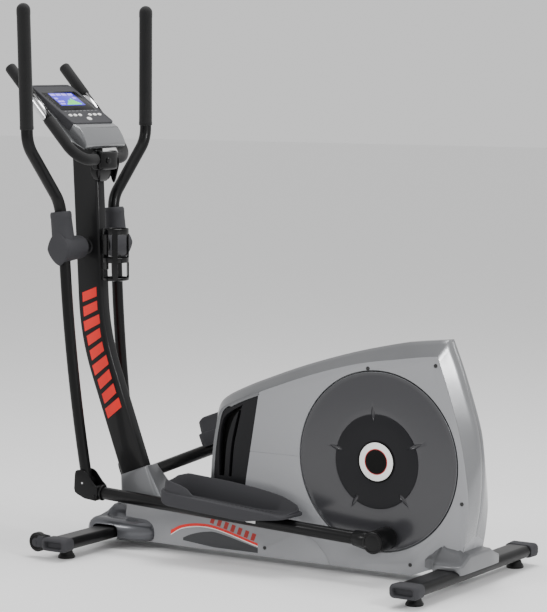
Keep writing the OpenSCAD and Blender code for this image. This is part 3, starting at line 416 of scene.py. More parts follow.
    @staticmethod
    def join(obj: Object, *others: Object) -> Object:
        """Joins the others' meshes to the piece as they are."""
        Bench.pick(obj, *others)
        bpy.ops.object.join()
        return obj

    @staticmethod
    def smooth(obj: Object, angle: float = 35) -> Object:
        """Shades smooth up to an angle."""
        Bench.pick(obj)
        bpy.ops.object.shade_smooth_by_angle(angle=math.radians(angle))
        return obj

    @staticmethod
    def copy(obj: Object) -> Object:
        """A copy with its own mesh."""
        twin = obj.copy()
        twin.data = obj.data.copy()
        bpy.context.collection.objects.link(twin)
        return twin

    @staticmethod
    def place(obj: Object, matrix: Matrix) -> Object:
        """Moves the mesh itself by a matrix, faces kept outwards."""
        obj.data.transform(matrix)
        if matrix.determinant() < 0:
            obj.data.flip_normals()
        obj.data.update()
        return obj


def joint_at(name: str) -> Vector:
    """Place of a joint in the row frame, in metres."""
    return Vector(next(j["pos_m"] for j in frame["joints"] if j["name"] == name))


CRANK = joint_at("crank_spin")
MACHINE = Matrix.Translation((CRANK.x, 0, 0)) @ Matrix.Diagonal((0.001, 0.001, 0.001, 1))
CRANK_Z = CRANK.z * 1000


def machine(point: Vector) -> Vector:
    """A row frame point in machine millimetres."""
    return MACHINE.inverted() @ point


def publish(obj: Object, name: str, finish: Finish, body: str,
            stands_for: Sequence[str] = (), where: Matrix | None = None,
            angle: float = 35) -> Object:
    """Names a finished piece, puts it in place and ties it to its body.

    Args:
        obj: The piece, modelled in millimetres.
        name: Name of the piece.
        finish: Finish that dresses it.
        body: Body that it rides on.
        stands_for: CAD nodes that it replaces.
        where: Frame that it was modelled in, or the machine's frame.
        angle: Angle up to which it is shaded smooth.

    Returns:
        The piece.
    """
    obj.name = obj.data.name = name
    Bench.smooth(obj, angle)
    Bench.place(obj, MACHINE @ where if where is not None else MACHINE)
    obj.data.materials.clear()
    obj.data.materials.append(finish.material())
    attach(obj, body)
    if stands_for:
        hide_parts(*stands_for)
    log.info("%s: %d faces", name, len(obj.data.polygons))
    return obj


def dress(node: str, finish: Finish) -> None:
    """Gives a kept CAD node its finish."""
    obj = frame["nodes"][node]
    for index in range(len(obj.material_slots)):
        obj.material_slots[index].material = finish.material()
    log.info("%s: kept", node)


def flow(points: Sequence[Sequence[float]], steps: int = 5, sharp: Sequence[int] = ()) -> list:
    """Smooth line through points, with corners kept at the sharp ones.

    Args:
        points: Points of any dimension.
        steps: Steps between two points.
        sharp: Indices of the points where the line keeps its corner.

    Returns:
        The points of the line, as tuples.
    """
    spots = [Vector(p) for p in points]
    last = len(spots) - 1
    made: list = []
    for i in range(last):
        a, b = spots[i], spots[i + 1]
        before = spots[i - 1] if i > 0 and i not in sharp else a - (b - a)
        after = spots[i + 2] if i + 1 < last and i + 1 not in sharp else b + (b - a)
        for k in range(steps):
            t = k / steps
            spot = 0.5 * (2 * a + (b - before) * t + (2 * before - 5 * a + 4 * b - after) * t * t
                          + (3 * a - before - 3 * b + after) * t ** 3)
            made.append(tuple(spot))
    made.append(tuple(spots[last]))
    return made


def round_corners(path: Sequence[Sequence[float]], radius: float, steps: int = 8) -> list[Vector]:
    """A path with its inner corners turned into arcs."""
    spots = [Vector(p) for p in path]
    made = [spots[0]]
    for before, corner, after in zip(spots, spots[1:], spots[2:]):
        u, v = (corner - before).normalized(), (after - corner).normalized()
        turn = u.angle(v)
        if turn < 1e-4:
            continue
        inward = (v - u * u.dot(v)).normalized()
        centre = corner - u * radius * math.tan(turn / 2) + inward * radius
        for k in range(steps + 1):
            a = turn * k / steps
            made.append(centre - inward * radius * math.cos(a) + u * radius * math.sin(a))
    made.append(spots[-1])
    return made


def round_box(width: float, height: float, radius: float, steps: int = 5) -> list[Flat]:
    """Ring of points of a rectangle with round corners, centred."""
    ring = []
    for k, (sx, sy) in enumerate(((1, 1), (-1, 1), (-1, -1), (1, -1))):
        for j in range(steps + 1):
            a = math.radians(90 * k + 90 * j / steps)
            ring.append((sx * (width / 2 - radius) + radius * math.cos(a),
                         sy * (height / 2 - radius) + radius * math.sin(a)))
    return ring


def circle(radius: float, count: int = 32) -> list[Flat]:
    """Ring of points of a circle."""
    return [(radius * math.cos(2 * math.pi * k / count), radius * math.sin(2 * math.pi * k / count))
            for k in range(count)]


def inset(ring: Sequence[Flat], by: float) -> list[Flat]:
    """The ring moved inwards by a distance, point by point."""
    count = len(ring)
    area = sum(ring[i][0] * ring[(i + 1) % count][1] - ring[(i + 1) % count][0] * ring[i][1]
               for i in range(count))
    sign = 1 if area > 0 else -1
    made = []
    for i in range(count):
        a, b, c = Vector(ring[i - 1]), Vector(ring[i]), Vector(ring[(i + 1) % count])
        u, v = (b - a).normalized(), (c - b).normalized()
        along = (u + v).normalized() if (u + v).length > 1e-6 else u
        normal = Vector((-along.y, along.x)) * sign
        made.append(tuple(b + normal * by / max(0.35, normal.dot(Vector((-u.y, u.x)) * sign))))
    return made


def pillow(ring: Sequence[Flat], low: float, top: Callable[[float, float], float],
           edge: float) -> Object:
    """Hood with a round upper edge over a ring of (x, y) points.

    Args:
        ring: Outline seen from above.
        low: Height of its lower edge.
        top: Height of its roof at a place.
        edge: Radius of its upper edge.

    Returns:
        The closed hood.
    """
    middle = Vector((sum(p[0] for p in ring) / len(ring), sum(p[1] for p in ring) / len(ring)))
    rings = [[(x, y, low) for x, y in ring]]
    inner = list(ring)
    for k in range(6):
        a = math.radians(90 * k / 5)
        inner = inset(ring, edge * (1 - math.cos(a))) if k else list(ring)
        rings.append([(x, y, top(x, y) - edge * (1 - math.sin(a))) for x, y in inner])
    for share in (0.8, 0.6, 0.4, 0.2, 0.05):
        row = [middle + (Vector(p) - middle) * share for p in inner]
        rings.append([(p.x, p.y, top(p.x, p.y)) for p in row])
    return Bench.loft(rings)


@dataclass
class Housing:
    """Covers of the drive: two halves, insert, crown, fascia and foot covers."""

    half: float = 58
    wall: float = 3
    front: float = -571
    rear: float = 294
    top: float = 650
    low: float = 22
    deck: float = 150
    cover_front: float = -883.6
    recess_r: float = 261
    recess_y: float = 39
    strip: float = 11

    def __post_init__(self) -> None:
        """Sets the outlines that the covers share."""
        f, t, r, c = self.front, self.top, self.rear, CRANK_Z
        self.side = flow([
            (f - 4, self.deck), (f, c - 97), (f + 8, c - 8), (f + 19, c + 55), (f + 33, c + 103),
            (f + 63, c + 125), (f + 112, c + 148), (f + 191, c + 177), (-227, t - 81),
            (-67, t - 37), (73, t - 15), (136, t - 6), (193, t)], 4)
        self.middle = flow([
            (f - 8, self.deck), (f - 10, c - 60), (f - 9, c + 10), (f - 5, c + 80), (f + 9, c + 122),
            (f + 40, c + 148), (f + 98, c + 176), (f + 170, c + 205), (-263, t - 57),
            (-101, t - 9), (40, t + 23), (103, t + 33), (206, t + 44)], 4)
        self.back_side = flow([
            (193, t), (225, t - 90), (r - 30, t - 215), (r - 7, t - 336), (r, t - 420),
            (r - 4, t - 480), (r - 12, t - 533), (r - 24, self.low + 40)], 5)
        self.back_middle = flow([
            (206, t + 44), (244, t - 50), (r - 4, t - 188), (r + 10, t - 267), (r + 13, t - 330),
            (r + 8, t - 420), (r - 6, t - 500), (r - 26, self.low + 40)], 5)
        self.insert_rear = [(f + 171, c + 169), (f + 168, c + 158), (f + 124, c - 95),
                            (f + 116, self.deck)]
        self.screws = [(-32, t - 48), (187, t - 26), (r - 21, c - 96), (109, 52), (-381, 48)]

    def shell(self) -> Object:
        """One housing half, on the positive side."""
        over = [p for p in self.side if p[0] > self.front + 174]
        ring = ([(self.cover_front, 102), (self.cover_front + 9, self.low), (114, self.low)]
                + flow([(114, self.low), (184, 48), (270, 62)], 4)[1:]
                + list(reversed(self.back_side))[1:] + list(reversed(over))[1:]
                + self.insert_rear + [(self.cover_front + 10, self.deck)])
        shell = Bench.prism(ring, 0.3, self.half)
        Bench.cut(shell, Bench.prism(inset(ring, self.wall), -1, self.half - self.wall))
        Bench.add(shell, self._drum(self.recess_r + self.wall, 36, self.half - 0.6))
        for x, z in self.screws:
            Bench.cut(shell, self._drum(6, self.half - 2.6, self.half + 1, (x, z), 24))
        Bench.cut(shell, self._drum(self.recess_r, self.recess_y, self.half + 1),
                  self._drum(22, 0, self.half),
                  Bench.block((self.front + 118, self.half - 0.8, CRANK_Z - 8.6),
                              (-self.recess_r + 6, self.half + 1, CRANK_Z - 7.2), 0))
        seam = flow([(-264, 106), (-216, 90), (-190, 70), (-163, 34), (-158, 20)], 6)
        band = seam + [(x + 1.6, z + 1.2) for x, z in reversed(seam)]
        Bench.cut(shell, Bench.prism(band, self.half - 0.9, self.half + 1))
        return Bench.bevel(shell, 1.6, 3, 40)

    def _drum(self, radius: float, y0: float, y1: float, at: Flat | None = None,
              steps: int = 128) -> Object:
        """Round bar across the machine, for cutting and joining."""
        x, z = at or (0, CRANK_Z)
        return Bench.prism([(x + p, z + q) for p, q in circle(radius, steps)], y0, y1)

    def crown(self, side: Sequence[Flat], middle: Sequence[Flat], groove: float = 0) -> Object:
        """Skin over the housing between its side outline and its middle outline.

        Args:
            side: Stations of the side outline.
            middle: As many stations of the middle outline.
            groove: Depth of the groove along the middle.

        Returns:
            The skin with its wall.
        """
        rings = []
        for (sx, sz), (mx, mz) in zip(side, middle):
            back = Vector((-mx, CRANK_Z - mz)).normalized() * groove
            half = [(self.half, 0), (self.half - 2, 0.05), (40, 0.41), (26, 0.73), (15, 0.985),
                    (12, 1)] + ([(2.4, 1), (1.6, 2)] if groove else [(5, 1)])
            row = []
            for y, share in half + [(-y, s) for y, s in reversed(half)]:
                if share == 2:
                    row.append((mx + back.x, y, mz + back.y))
                else:
                    row.append((sx + (mx - sx) * share, y, sz + (mz - sz) * share))
            rings.append(row)
        skin = Bench.loft(rings, closed=False, capped=False)
        Bench.use(skin, "SOLIDIFY", thickness=self.wall, offset=-1)
        return Bench.bevel(skin, 0.7, 2, 50)

    def insert(self) -> Object:
        """Dark insert with its two tall slots and the raised blade between them."""
        f, c = self.front, CRANK_Z
        ring = [(f + 7, self.deck)]
        ring += [(x + self.strip, z - (7 if x > f + 60 else 3)) for x, z in self.side
                 if self.deck < z and x < f + 150]
        ring += [(f + 168.5, c + 161)] + self.insert_rear[1:]
        slab = Bench.prism(ring, 34, self.half - 1.5)
        outer = flow([(f + 28, c - 90), (f + 30, c), (f + 38, c + 62), (f + 58, c + 96),
                      (f + 112, c + 127)], 5)
        inner = flow([(f + 46, c - 90), (f + 54, c), (f + 66, c + 52), (f + 84, c + 92),
                      (f + 108, c + 118)], 5)
        thin_a = flow([(f + 62, c - 90), (f + 71, c), (f + 83, c + 56), (f + 99, c + 112)], 5)
        thin_b = flow([(f + 72, c - 90), (f + 81, c), (f + 93, c + 54), (f + 107, c + 110)], 5)
        Bench.cut(slab, Bench.prism(outer + inner[::-1], 30, self.half + 2),
                  Bench.prism(thin_a + thin_b[::-1], 30, self.half + 2))
        Bench.bevel(slab, 1.2, 3, 40)
        twin = Bench.place(Bench.copy(slab), Matrix.Diagonal((1, -1, 1, 1)))
        return Bench.join(slab, twin)

    def edge_strip(self) -> Object:
        """Bright strip down the housing's front edge, on both sides, up to its crown."""
        f = self.front
        outer = [p for p in self.side if p[0] < f + 172]
        inner = [(x + self.strip - 0.6, z - (6.4 if x > f + 60 else 0)) for x, z in outer]
        strip = Bench.prism(outer + inner[::-1], 28, self.half)
        Bench.bevel(strip, 1.2, 3, 40)
        twin = Bench.place(Bench.copy(strip), Matrix.Diagonal((1, -1, 1, 1)))
        return Bench.join(strip, twin)

    def front_foot(self) -> Object:
        """Hood over the front stabilizer, swelling back to a round nose beside the base."""
        half = [(-1000, 0), (-1000, 60), (-999, 90), (-995, 100), (-986, 107), (-968, 110),
                (-934, 110), (-905, 109), (-878, 106), (-850, 101), (-826, 94), (-803, 84),
                (-786, 72), (-778, 60), (-775, 0)]
        ring = half + [(x, -y) for x, y in reversed(half[1:-1])]

        def roof(x: float, y: float) -> float:
            """Height of the hood at a place: a ridge covers the end of the base beam."""
            ridge = max(0.0, min(1.0, (62 - abs(y)) / 26)) * max(0.0, min(1.0, (x + 988) / 42))
            return 88 - 6 * max(0.0, min(1.0, (x + 960) / 170)) + 37 * ridge

        rings = [[(p[0], p[1], 24 + (roof(p[0], p[1]) - 24) * rise) for p in inset(ring, by)]
                 for rise, by in ((0, 13), (0.06, 7), (0.16, 2), (0.3, 0.2), (0.48, 0.2), (0.66, 2.4),
                                  (0.8, 7), (0.92, 15), (0.985, 24), (1, 30))]
        inner = inset(ring, 30)
        rings += [[(-890 + (x + 890) * share, y * share, roof(-890 + (x + 890) * share, y * share))
                   for x, y in inner] for share in (0.88, 0.76, 0.64, 0.52, 0.4, 0.2, 0.03)]
        hood = Bench.loft(rings)
        Bench.cut(hood, self._tube_cut(-927.6, 92, 46, 120),
                  Bench.prism([(-895 + p, 38 + q) for p, q in circle(5, 20)], -130, -98))
        return Bench.bevel(hood, 2, 3, 50)

    def rear_foot(self) -> Object:
        """Thin plate over the rear stabilizer, flaring up to hug the housing."""
        half = [(158, 0), (158, 60), (160, 64), (168, 68), (182, 74), (196, 86), (206, 102),
                (216, 116), (232, 123), (270, 124.5), (290, 123), (300, 117), (304, 104),
                (305, 60), (305, 0)]
        ring = half + [(x, -y) for x, y in reversed(half[1:-1])]

        def roof(x: float, y: float) -> float:
            """Height of the hood at a place."""
            climb = max(0.0, min(1.0, (118 - abs(y)) / 56))
            back = 1 - 0.45 * max(0.0, min(1.0, (x - 240) / 64))
            ahead = max(0.0, min(1.0, (x - 150) / 60))
            return 64 + 14 * ahead + 42 * climb ** 2.4 * back * (0.1 + 0.9 * ahead)

        hood = pillow(ring, 52, roof, 6)
        Bench.cut(hood, self._tube_cut(259, 84, 37, 140))
        return Bench.bevel(hood, 1.2, 3, 50)

    def _tube_cut(self, x: float, width: float, height: float, half: float) -> Object:
        """Opening for a stabilizer tube."""
        return Bench.prism([(x + p, 46.5 + q) for p, q in round_box(width, height, 18)],
                           -half - 20, half + 20)

    def swoosh(self) -> tuple[Object, Object, Object]:
        """Printed marks along the base: orange line, its white edge, darker field."""
        y = self.half
        upper = flow([(-717, 66), (-676, 86), (-612, 97), (-540, 92), (-405, 58)], 6)
        lower = flow([(-717, 54), (-676, 77), (-612, 89), (-540, 84), (-405, 51)], 6)
        edge = [(x, z - 3) for x, z in lower]
        field = flow([(-672, 48), (-640, 62), (-590, 74), (-540, 74), (-405, 45)], 6)
        ground = [(-405, 30), (-560, 30), (-672, 40)]
        return (Bench.prism(upper + lower[::-1], y - 0.5, y + 0.35),
                Bench.prism(lower + edge[::-1], y - 0.5, y + 0.3),
                Bench.prism(field + ground, y - 0.5, y + 0.25))

    def bars(self) -> Object:
        """Row of slanted orange bars where the base carries a print."""
        made = []
        for k in range(7):
            x = -575 + 24 * k
            z = 124 - 6 * k
            made.append(Bench.prism([(x, z - 21), (x + 13, z - 24), (x + 21, z - 3), (x + 8, z)],
                                    self.half - 0.5, self.half + 0.35))
        return Bench.join(*made)

    def build(self) -> None:
        """Makes, dresses and places the housing."""
        flip = Matrix.Diagonal((1, -1, 1, 1))
        half = self.shell()
        other = Bench.place(Bench.copy(half), flip)
        publish(half, "housing_right", SHELL_SILVER, "frame", ["right_shell"])
        publish(other, "housing_left", SHELL_SILVER, "frame", ["left_shell"])
        publish(self.insert(), "housing_insert", INSERT_GREY, "frame", ["front_insert"])
        trim = Bench.join(self.crown(self.side, self.middle), self.edge_strip())
        publish(trim, "housing_crown", TRIM_SILVER, "frame", ["top_trim"])
        fascia = self.crown(self.back_side, self.back_middle, 2.2)
        publish(fascia, "housing_fascia", FASCIA_SILVER, "frame", ["rear_fascia"])
        # Painted shade: a black board inside the housing, behind the insert's slots, stands in for the shade
        # in there.
        shade_board = Bench.prism(inset(self._shade_board_outline(), 0), -self.half + 25, self.half - 25)
        publish(Bench.bevel(shade_board, 1), "insert_slot_shade", PRINT_AND_SHADE_BLACK, "frame")
        publish(self.front_foot(), "front_foot_hood", DARK_SILVER, "frame",
                ["front_foot_cover"])
        publish(self.rear_foot(), "rear_foot_hood", TRIM_SILVER, "frame",
                ["rear_foot_cover"])
        names = (("swoosh", PRINT_ORANGE), ("swoosh_edge", PRINT_WHITE), ("base_field", PRINT_GREY))
        for piece, (name, finish) in zip(self.swoosh(), names):
            twin = Bench.place(Bench.copy(piece), flip)
            publish(Bench.join(piece, twin), name, finish, "frame")
        bars = self.bars()
        publish(Bench.join(bars, Bench.place(Bench.copy(bars), flip)), "base_bars", PRINT_DULL,
                "frame")

    def _shade_board_outline(self) -> list[Flat]:
        """Outline of the black board behind the insert's slots, painted shade that stands in for the shaded
        inside of the housing.
        """
        f, c = self.front, CRANK_Z
        return [(f + 20, c - 100), (f + 24, c), (f + 34, c + 70), (f + 56, c + 104),
                (f + 120, c + 136), (f + 150, c + 120), (f + 112, c - 100)]


@dataclass
class DiscCovers:
    """The two discs that turn with the crank."""

    radius: float = 256
    back: float = 47

    def disc(self) -> Object:
        """Glossy disc with five drop-shaped pits on the edge of its inner ring."""
        r = self.radius
        body = Bench.spin([
            (0, 52), (r - 12, 52), (r - 6, self.back), (r, self.back), (r, 55.5), (r - 1.5, 57.2),
            (r - 4, 56.6), (r * 0.95, 57.4), (r * 0.88, 58.8), (r * 0.8, 60.2), (r * 0.7, 61.5),
            (r * 0.6, 62.3), (r * 0.535, 62.6), (r * 0.53, 61.6), (0, 61.6)], (0, 0, CRANK_Z), steps=128)
        for k in range(5):
            Bench.cut(body, self._pit(95 + 72 * k))
        return Bench.bevel(body, 0.5, 2, 30)

    def _pit(self, angle: float) -> Object:
        """Drop-shaped tool that cuts one pit."""
        Bench.pick()
        bpy.ops.mesh.primitive_uv_sphere_add(segments=24, ring_count=12, radius=1)
        drop = bpy.context.object
        for vertex in drop.data.vertices:
            x, y, z = vertex.co
            taper = 0.35 + 0.65 * (1 - (x + 1) / 2)
            vertex.co = (x * 21, y * 5.5, z * 9 * taper)
        where = (Matrix.Translation((0, 62.6, CRANK_Z)) @ Matrix.Rotation(math.radians(-angle), 4, "Y")
                 @ Matrix.Translation((self.radius * 0.54, 0, 0)) @ Matrix.Rotation(0.35, 4, "X"))
        return Bench.place(drop, where)

    def inner(self) -> Object:
        """Grey inner ring of the disc."""
        r = self.radius
        ring = Bench.spin([
            (r * 0.2, 61), (r * 0.528, 61), (r * 0.528, 62.6), (r * 0.52, 63.2), (r * 0.4, 63.5),
            (r * 0.26, 63.4), (r * 0.24, 62.6), (r * 0.2, 62.6)], (0, 0, CRANK_Z), steps=96)
        for k in range(5):
            Bench.cut(ring, self._pit(95 + 72 * k))
        return Bench.bevel(ring, 0.3, 2)

    def badge(self) -> Object:
        """White hub badge."""
        return Bench.bevel(Bench.spin([(0, 62), (56, 62), (56, 64), (54, 65), (0, 65.2)],
                                      (0, 0, CRANK_Z), steps=96), 0.3, 2)

    def marks(self) -> Object:
        """Dark ring round the badge and a plain dark dot at its middle."""
        ring = Bench.spin([(55, 62), (60, 62), (60, 64.4), (58.5, 65), (56, 65), (55, 64.4)],
                          (0, 0, CRANK_Z), steps=96)
        dot = Bench.spin([(0, 64.8), (35, 64.8), (35, 65.4), (0, 65.4)], (0, 0, CRANK_Z), steps=64)
        return Bench.bevel(Bench.join(ring, dot), 0.15, 2)

    def line(self) -> Object:
        """Fine red line round the dot."""
        return Bench.bevel(Bench.spin([(35, 64.8), (37.4, 64.8), (37.4, 65.35), (35, 65.35)],
                                      (0, 0, CRANK_Z), steps=64), 0.1, 1)

    def rim(self) -> Object:
        """Thin bright ring round the disc's edge, a painted highlight for the light caught along that edge.
        """
        r = self.radius
        return Bench.bevel(Bench.spin([(r - 1.2, 55), (r + 0.4, 54.5), (r + 0.4, 56), (r - 0.2, 57),
                                       (r - 1.2, 57.2)], (0, 0, CRANK_Z), steps=128), 0.2, 2)

    def build(self) -> None:
        """Makes both discs from one set of pieces."""
        parts = (("disc", self.disc, DISC_BLACK, "disc_black"),
                 ("disc_ring", self.inner, DISC_GREY, "disc_black"),
                 ("disc_badge", self.badge, BADGE_WHITE, "bright_silver"),
                 ("disc_marks", self.marks, PRINT_AND_SHADE_BLACK, "disc_black"),
                 ("disc_line", self.line, BADGE_RED, "disc_black"),
                 ("disc_rim_highlight", self.rim, DISC_EDGE_HIGHLIGHT, "bright_silver"))
        for name, make, finish, slot in parts:
            right = make()
            left = Bench.place(Bench.copy(right), Matrix.Diagonal((1, -1, 1, 1)))
            for piece, side in ((right, "right"), (left, "left")):
                publish(piece, f"{side}_{name}_face", finish, "crank",
                        [f"{side}_disc"] if name == "disc" else ())


@dataclass
class Stand:
    """End caps, wheels and levelling feet of the two stabilizers."""

    front_x: float = -927.6
    rear_x: float = 259
    half: float = 346
    tube_w: float = 82
    tube_h: float = 35
    tube_z: float = 46.5
    foot_y: float = 297

    def cap(self) -> Object:
        """End cap at the origin, opening dark and hollow at its outer end."""
        rings = []
        for y, grow in ((-30, 1.2), (-29, 2.4), (0, 3.6), (8, 4), (14, 2), (18.5, -3), (19.4, -6)):
            rings.append([(x, y, z) for x, z in round_box(self.tube_w + 2 * grow,
                                                          self.tube_h + 1.2 * grow, 13)])
        for y, w, h in ((17, 64, 20), (6, 58, 16)):
            rings.append([(x, y, z) for x, z in round_box(w, h, 7)])
        return Bench.bevel(Bench.loft(rings), 0.8, 2, 40)

    def fork(self) -> Object:
        """Wheel fork on a front cap, on the positive side."""
        x, z = -1003.6, 46
        plate = [(x + 33, 33), (x + 33, 66), (x + 12, 68)]
        plate += [(x + 13 * math.cos(math.radians(a)), z + 13 * math.sin(math.radians(a)))
                  for a in range(70, 291, 20)] + [(x + 12, 33)]
        near = Bench.bevel(Bench.prism(plate, 345.6, 350.4), 1.2)
        far = Bench.bevel(Bench.prism(plate, 317.6, 322.4), 1.2)
        pin = Bench.bevel(Bench.spin([(0, 316.4), (6, 316.4), (6, 318), (4.9, 318), (4.9, 350),
                                      (6, 350), (6, 351.6), (0, 351.6)], (x, 0, z), steps=32), 0.5)
        return Bench.join(near, far, pin)

    def wheel(self) -> Object:
        """Transport wheel with a grooved tread and a stepped web."""
        half = [(5.2, 10), (9, 10), (11, 5.5), (20, 4.6), (22.5, 9), (27, 10), (29, 7.6), (29, 5),
                (28, 4.4), (28, 3.4), (29, 2.8)]
        return Bench.bevel(Bench.spin(half + [(r, -y) for r, y in reversed(half)],
                                      (-1003.6, 334, 46), steps=64), 0.5, 2)

    def foot(self) -> Object:
        """Levelling foot at the origin: ribbed rubber cone on a threaded stem."""
        profile = [(0, 0), (25, 0), (25.5, 1.5), (25.5, 5), (24.4, 6), (24.4, 7), (23.4, 8.4),
                   (21.6, 12), (20.4, 12.8), (19.6, 15), (18, 20.5), (16.6, 22), (10, 23.6),
                   (10, 28.6), (5, 28.6)]
        for k in range(7):
            profile += [(5, 29 + 2.4 * k), (4.4, 30.2 + 2.4 * k)]
        return Bench.bevel(Bench.spin(profile + [(0, 46)], (0, 0, 0), "Z", 48), 0.3, 2, 50)

    def build(self) -> None:
        """Makes and dresses the stand's small pieces."""
        flip = Matrix.Diagonal((1, -1, 1, 1))
        cap, made = self.cap(), []
        for x in (self.front_x, self.rear_x):
            one = Bench.place(Bench.copy(cap), Matrix.Translation((x, self.half, self.tube_z)))
            made += [one, Bench.place(Bench.copy(one), flip)]
        bpy.data.objects.remove(cap)
        fork = self.fork()
        made += [fork, Bench.place(Bench.copy(fork), flip)]
        publish(Bench.join(*made), "tube_end_caps", BLACK_PLASTIC, "frame",
                ["end_caps"])
        wheel = self.wheel()
        twin = Bench.place(Bench.copy(wheel), flip)
        publish(wheel, "right_roller", RUBBER_BLACK, "right_wheel", ["right_wheel"])
        publish(twin, "left_roller", RUBBER_BLACK, "left_wheel", ["left_wheel"])
        foot = self.foot()
        for end, x in (("front", self.front_x), ("rear", self.rear_x)):
            for side, y in (("left", -self.foot_y), ("right", self.foot_y)):
                node = f"{end}_{side}_foot"
                body = next(b for b in frame["bodies"] if b == node or b.startswith(node))
                publish(Bench.place(Bench.copy(foot), Matrix.Translation((x, y, 0))),
                        f"{node}_pad", RUBBER_BLACK, body, [node])
        bpy.data.objects.remove(foot)


@dataclass
class Mast:
    """Bent mast with its boss, print and base collar."""

    depth: float = 94
    width: float = 42
    corner: Flat = (-1037.8, 633)
    low_tilt: float = 20.5
    top_tilt: float = 2.5
    bend_r: float = 720
    foot_z: float = 175
    top_z: float = 1262
    pivot: Flat = (-1053.6, 904.9)

    def line(self) -> list[tuple[float, float, float]]:
        """Middle line as (x, z, tilt from upright in degrees)."""
        bend = math.radians(self.low_tilt - self.top_tilt)
        low, cx, cz = math.radians(self.low_tilt), *self.corner
        centre = (cx + self.bend_r * (math.cos(low) + math.sin(low) * math.tan(bend / 2)),
                  cz + self.bend_r * (math.sin(low) - math.cos(low) * math.tan(bend / 2)))
        made = [(cx - (self.foot_z - cz) * math.tan(low), self.foot_z, self.low_tilt)]
        for k in range(9):
            a = low - bend * k / 8
            made.append((centre[0] - self.bend_r * math.cos(a), centre[1] - self.bend_r * math.sin(a),
                         math.degrees(a)))
        top = math.radians(self.top_tilt)
        made.append((cx - (self.top_z - cz) * math.tan(top), self.top_z, self.top_tilt))
        return made

    def at(self, z: float, off: float = 0) -> Flat:
        """Point of the mast's side face at a height along its middle line."""
        spots = self.line()
        for (xa, za, ta), (xb, zb, tb) in zip(spots, spots[1:]):
            if za <= z <= zb:
                t = (z - za) / (zb - za)
                tilt = math.radians(ta + (tb - ta) * t)
                return (xa + (xb - xa) * t + off * math.cos(tilt), z + off * math.sin(tilt))
        return (spots[-1][0] + off, z)

    def body(self) -> Object:
        """Mast tube with its round corners and pivot boss."""
        rings = []
        for x, z, tilt in self.line():
            a = math.radians(tilt)
            rings.append([(x + p * math.cos(a), q, z + p * math.sin(a))
                          for p, q in round_box(self.depth, self.width, 10)])
        tube = Bench.loft(rings)
        boss = Bench.spin([(0, -72), (19, -72), (20, -71), (20, -24), (24, -21), (24, 21), (20, 24),
                           (20, 71), (19, 72), (0, 72)], (self.pivot[0], 0, self.pivot[1]), steps=48)
        return Bench.join(Bench.bevel(tube, 0.6, 2, 60), boss)

    def print(self) -> Object:
        """Column of slanted orange bars on both sides of the mast."""
        bars = []
        for k in range(9):
            z0 = 398 + 43 * k
            reach = 27 if k % 3 else 31
            for y in (self.width / 2, -self.width / 2):
                ring = [self.at(z0 - 8, -reach), self.at(z0 + 10, reach), self.at(z0 + 39, reach),
                        self.at(z0 + 21, -reach)]
                bars.append(Bench.prism(ring, y - 0.4, y + 0.4))
        return Bench.join(*bars)

    def collar(self) -> Object:
        """Silver collar that narrows from the base to a band round the mast."""
        a, c = math.radians(self.low_tilt), -877.8
        rings = []
        for z, front, back, half in ((118, -898, -757, 57.6), (150, -910, -755, 57.6)):
            rings.append([((front + back) / 2 + p, q, z) for p, q in
                          round_box(back - front, 2 * half, 20)])
        for rise, ahead, behind, half in ((-4, 51, 56, 31), (0, 51, 56, 30), (1.5, 49.5, 54.5, 28.5),
                                          (1.5, 47.5, 52, 26), (-6, 47.5, 50, 25)):
            row = []
            for p, q in round_box(ahead + behind, 2 * half, 7):
                p += (behind - ahead) / 2
                row.append((c + p * math.cos(a) - rise * math.sin(a), q,
                            205 + 22 + p * math.sin(a) + rise * math.cos(a)))
            rings.append(row)
        return Bench.bevel(Bench.loft(rings), 1, 2, 40)

    def build(self) -> None:
        """Makes, dresses and places the mast."""
        publish(self.body(), "mast_column", MAST_PAINT, "frame", ["mast"])
        publish(self.print(), "mast_bars", PRINT_ORANGE, "frame")
        publish(self.collar(), "mast_collar", TRIM_SILVER, "frame",
                ["mast_base_cover"])


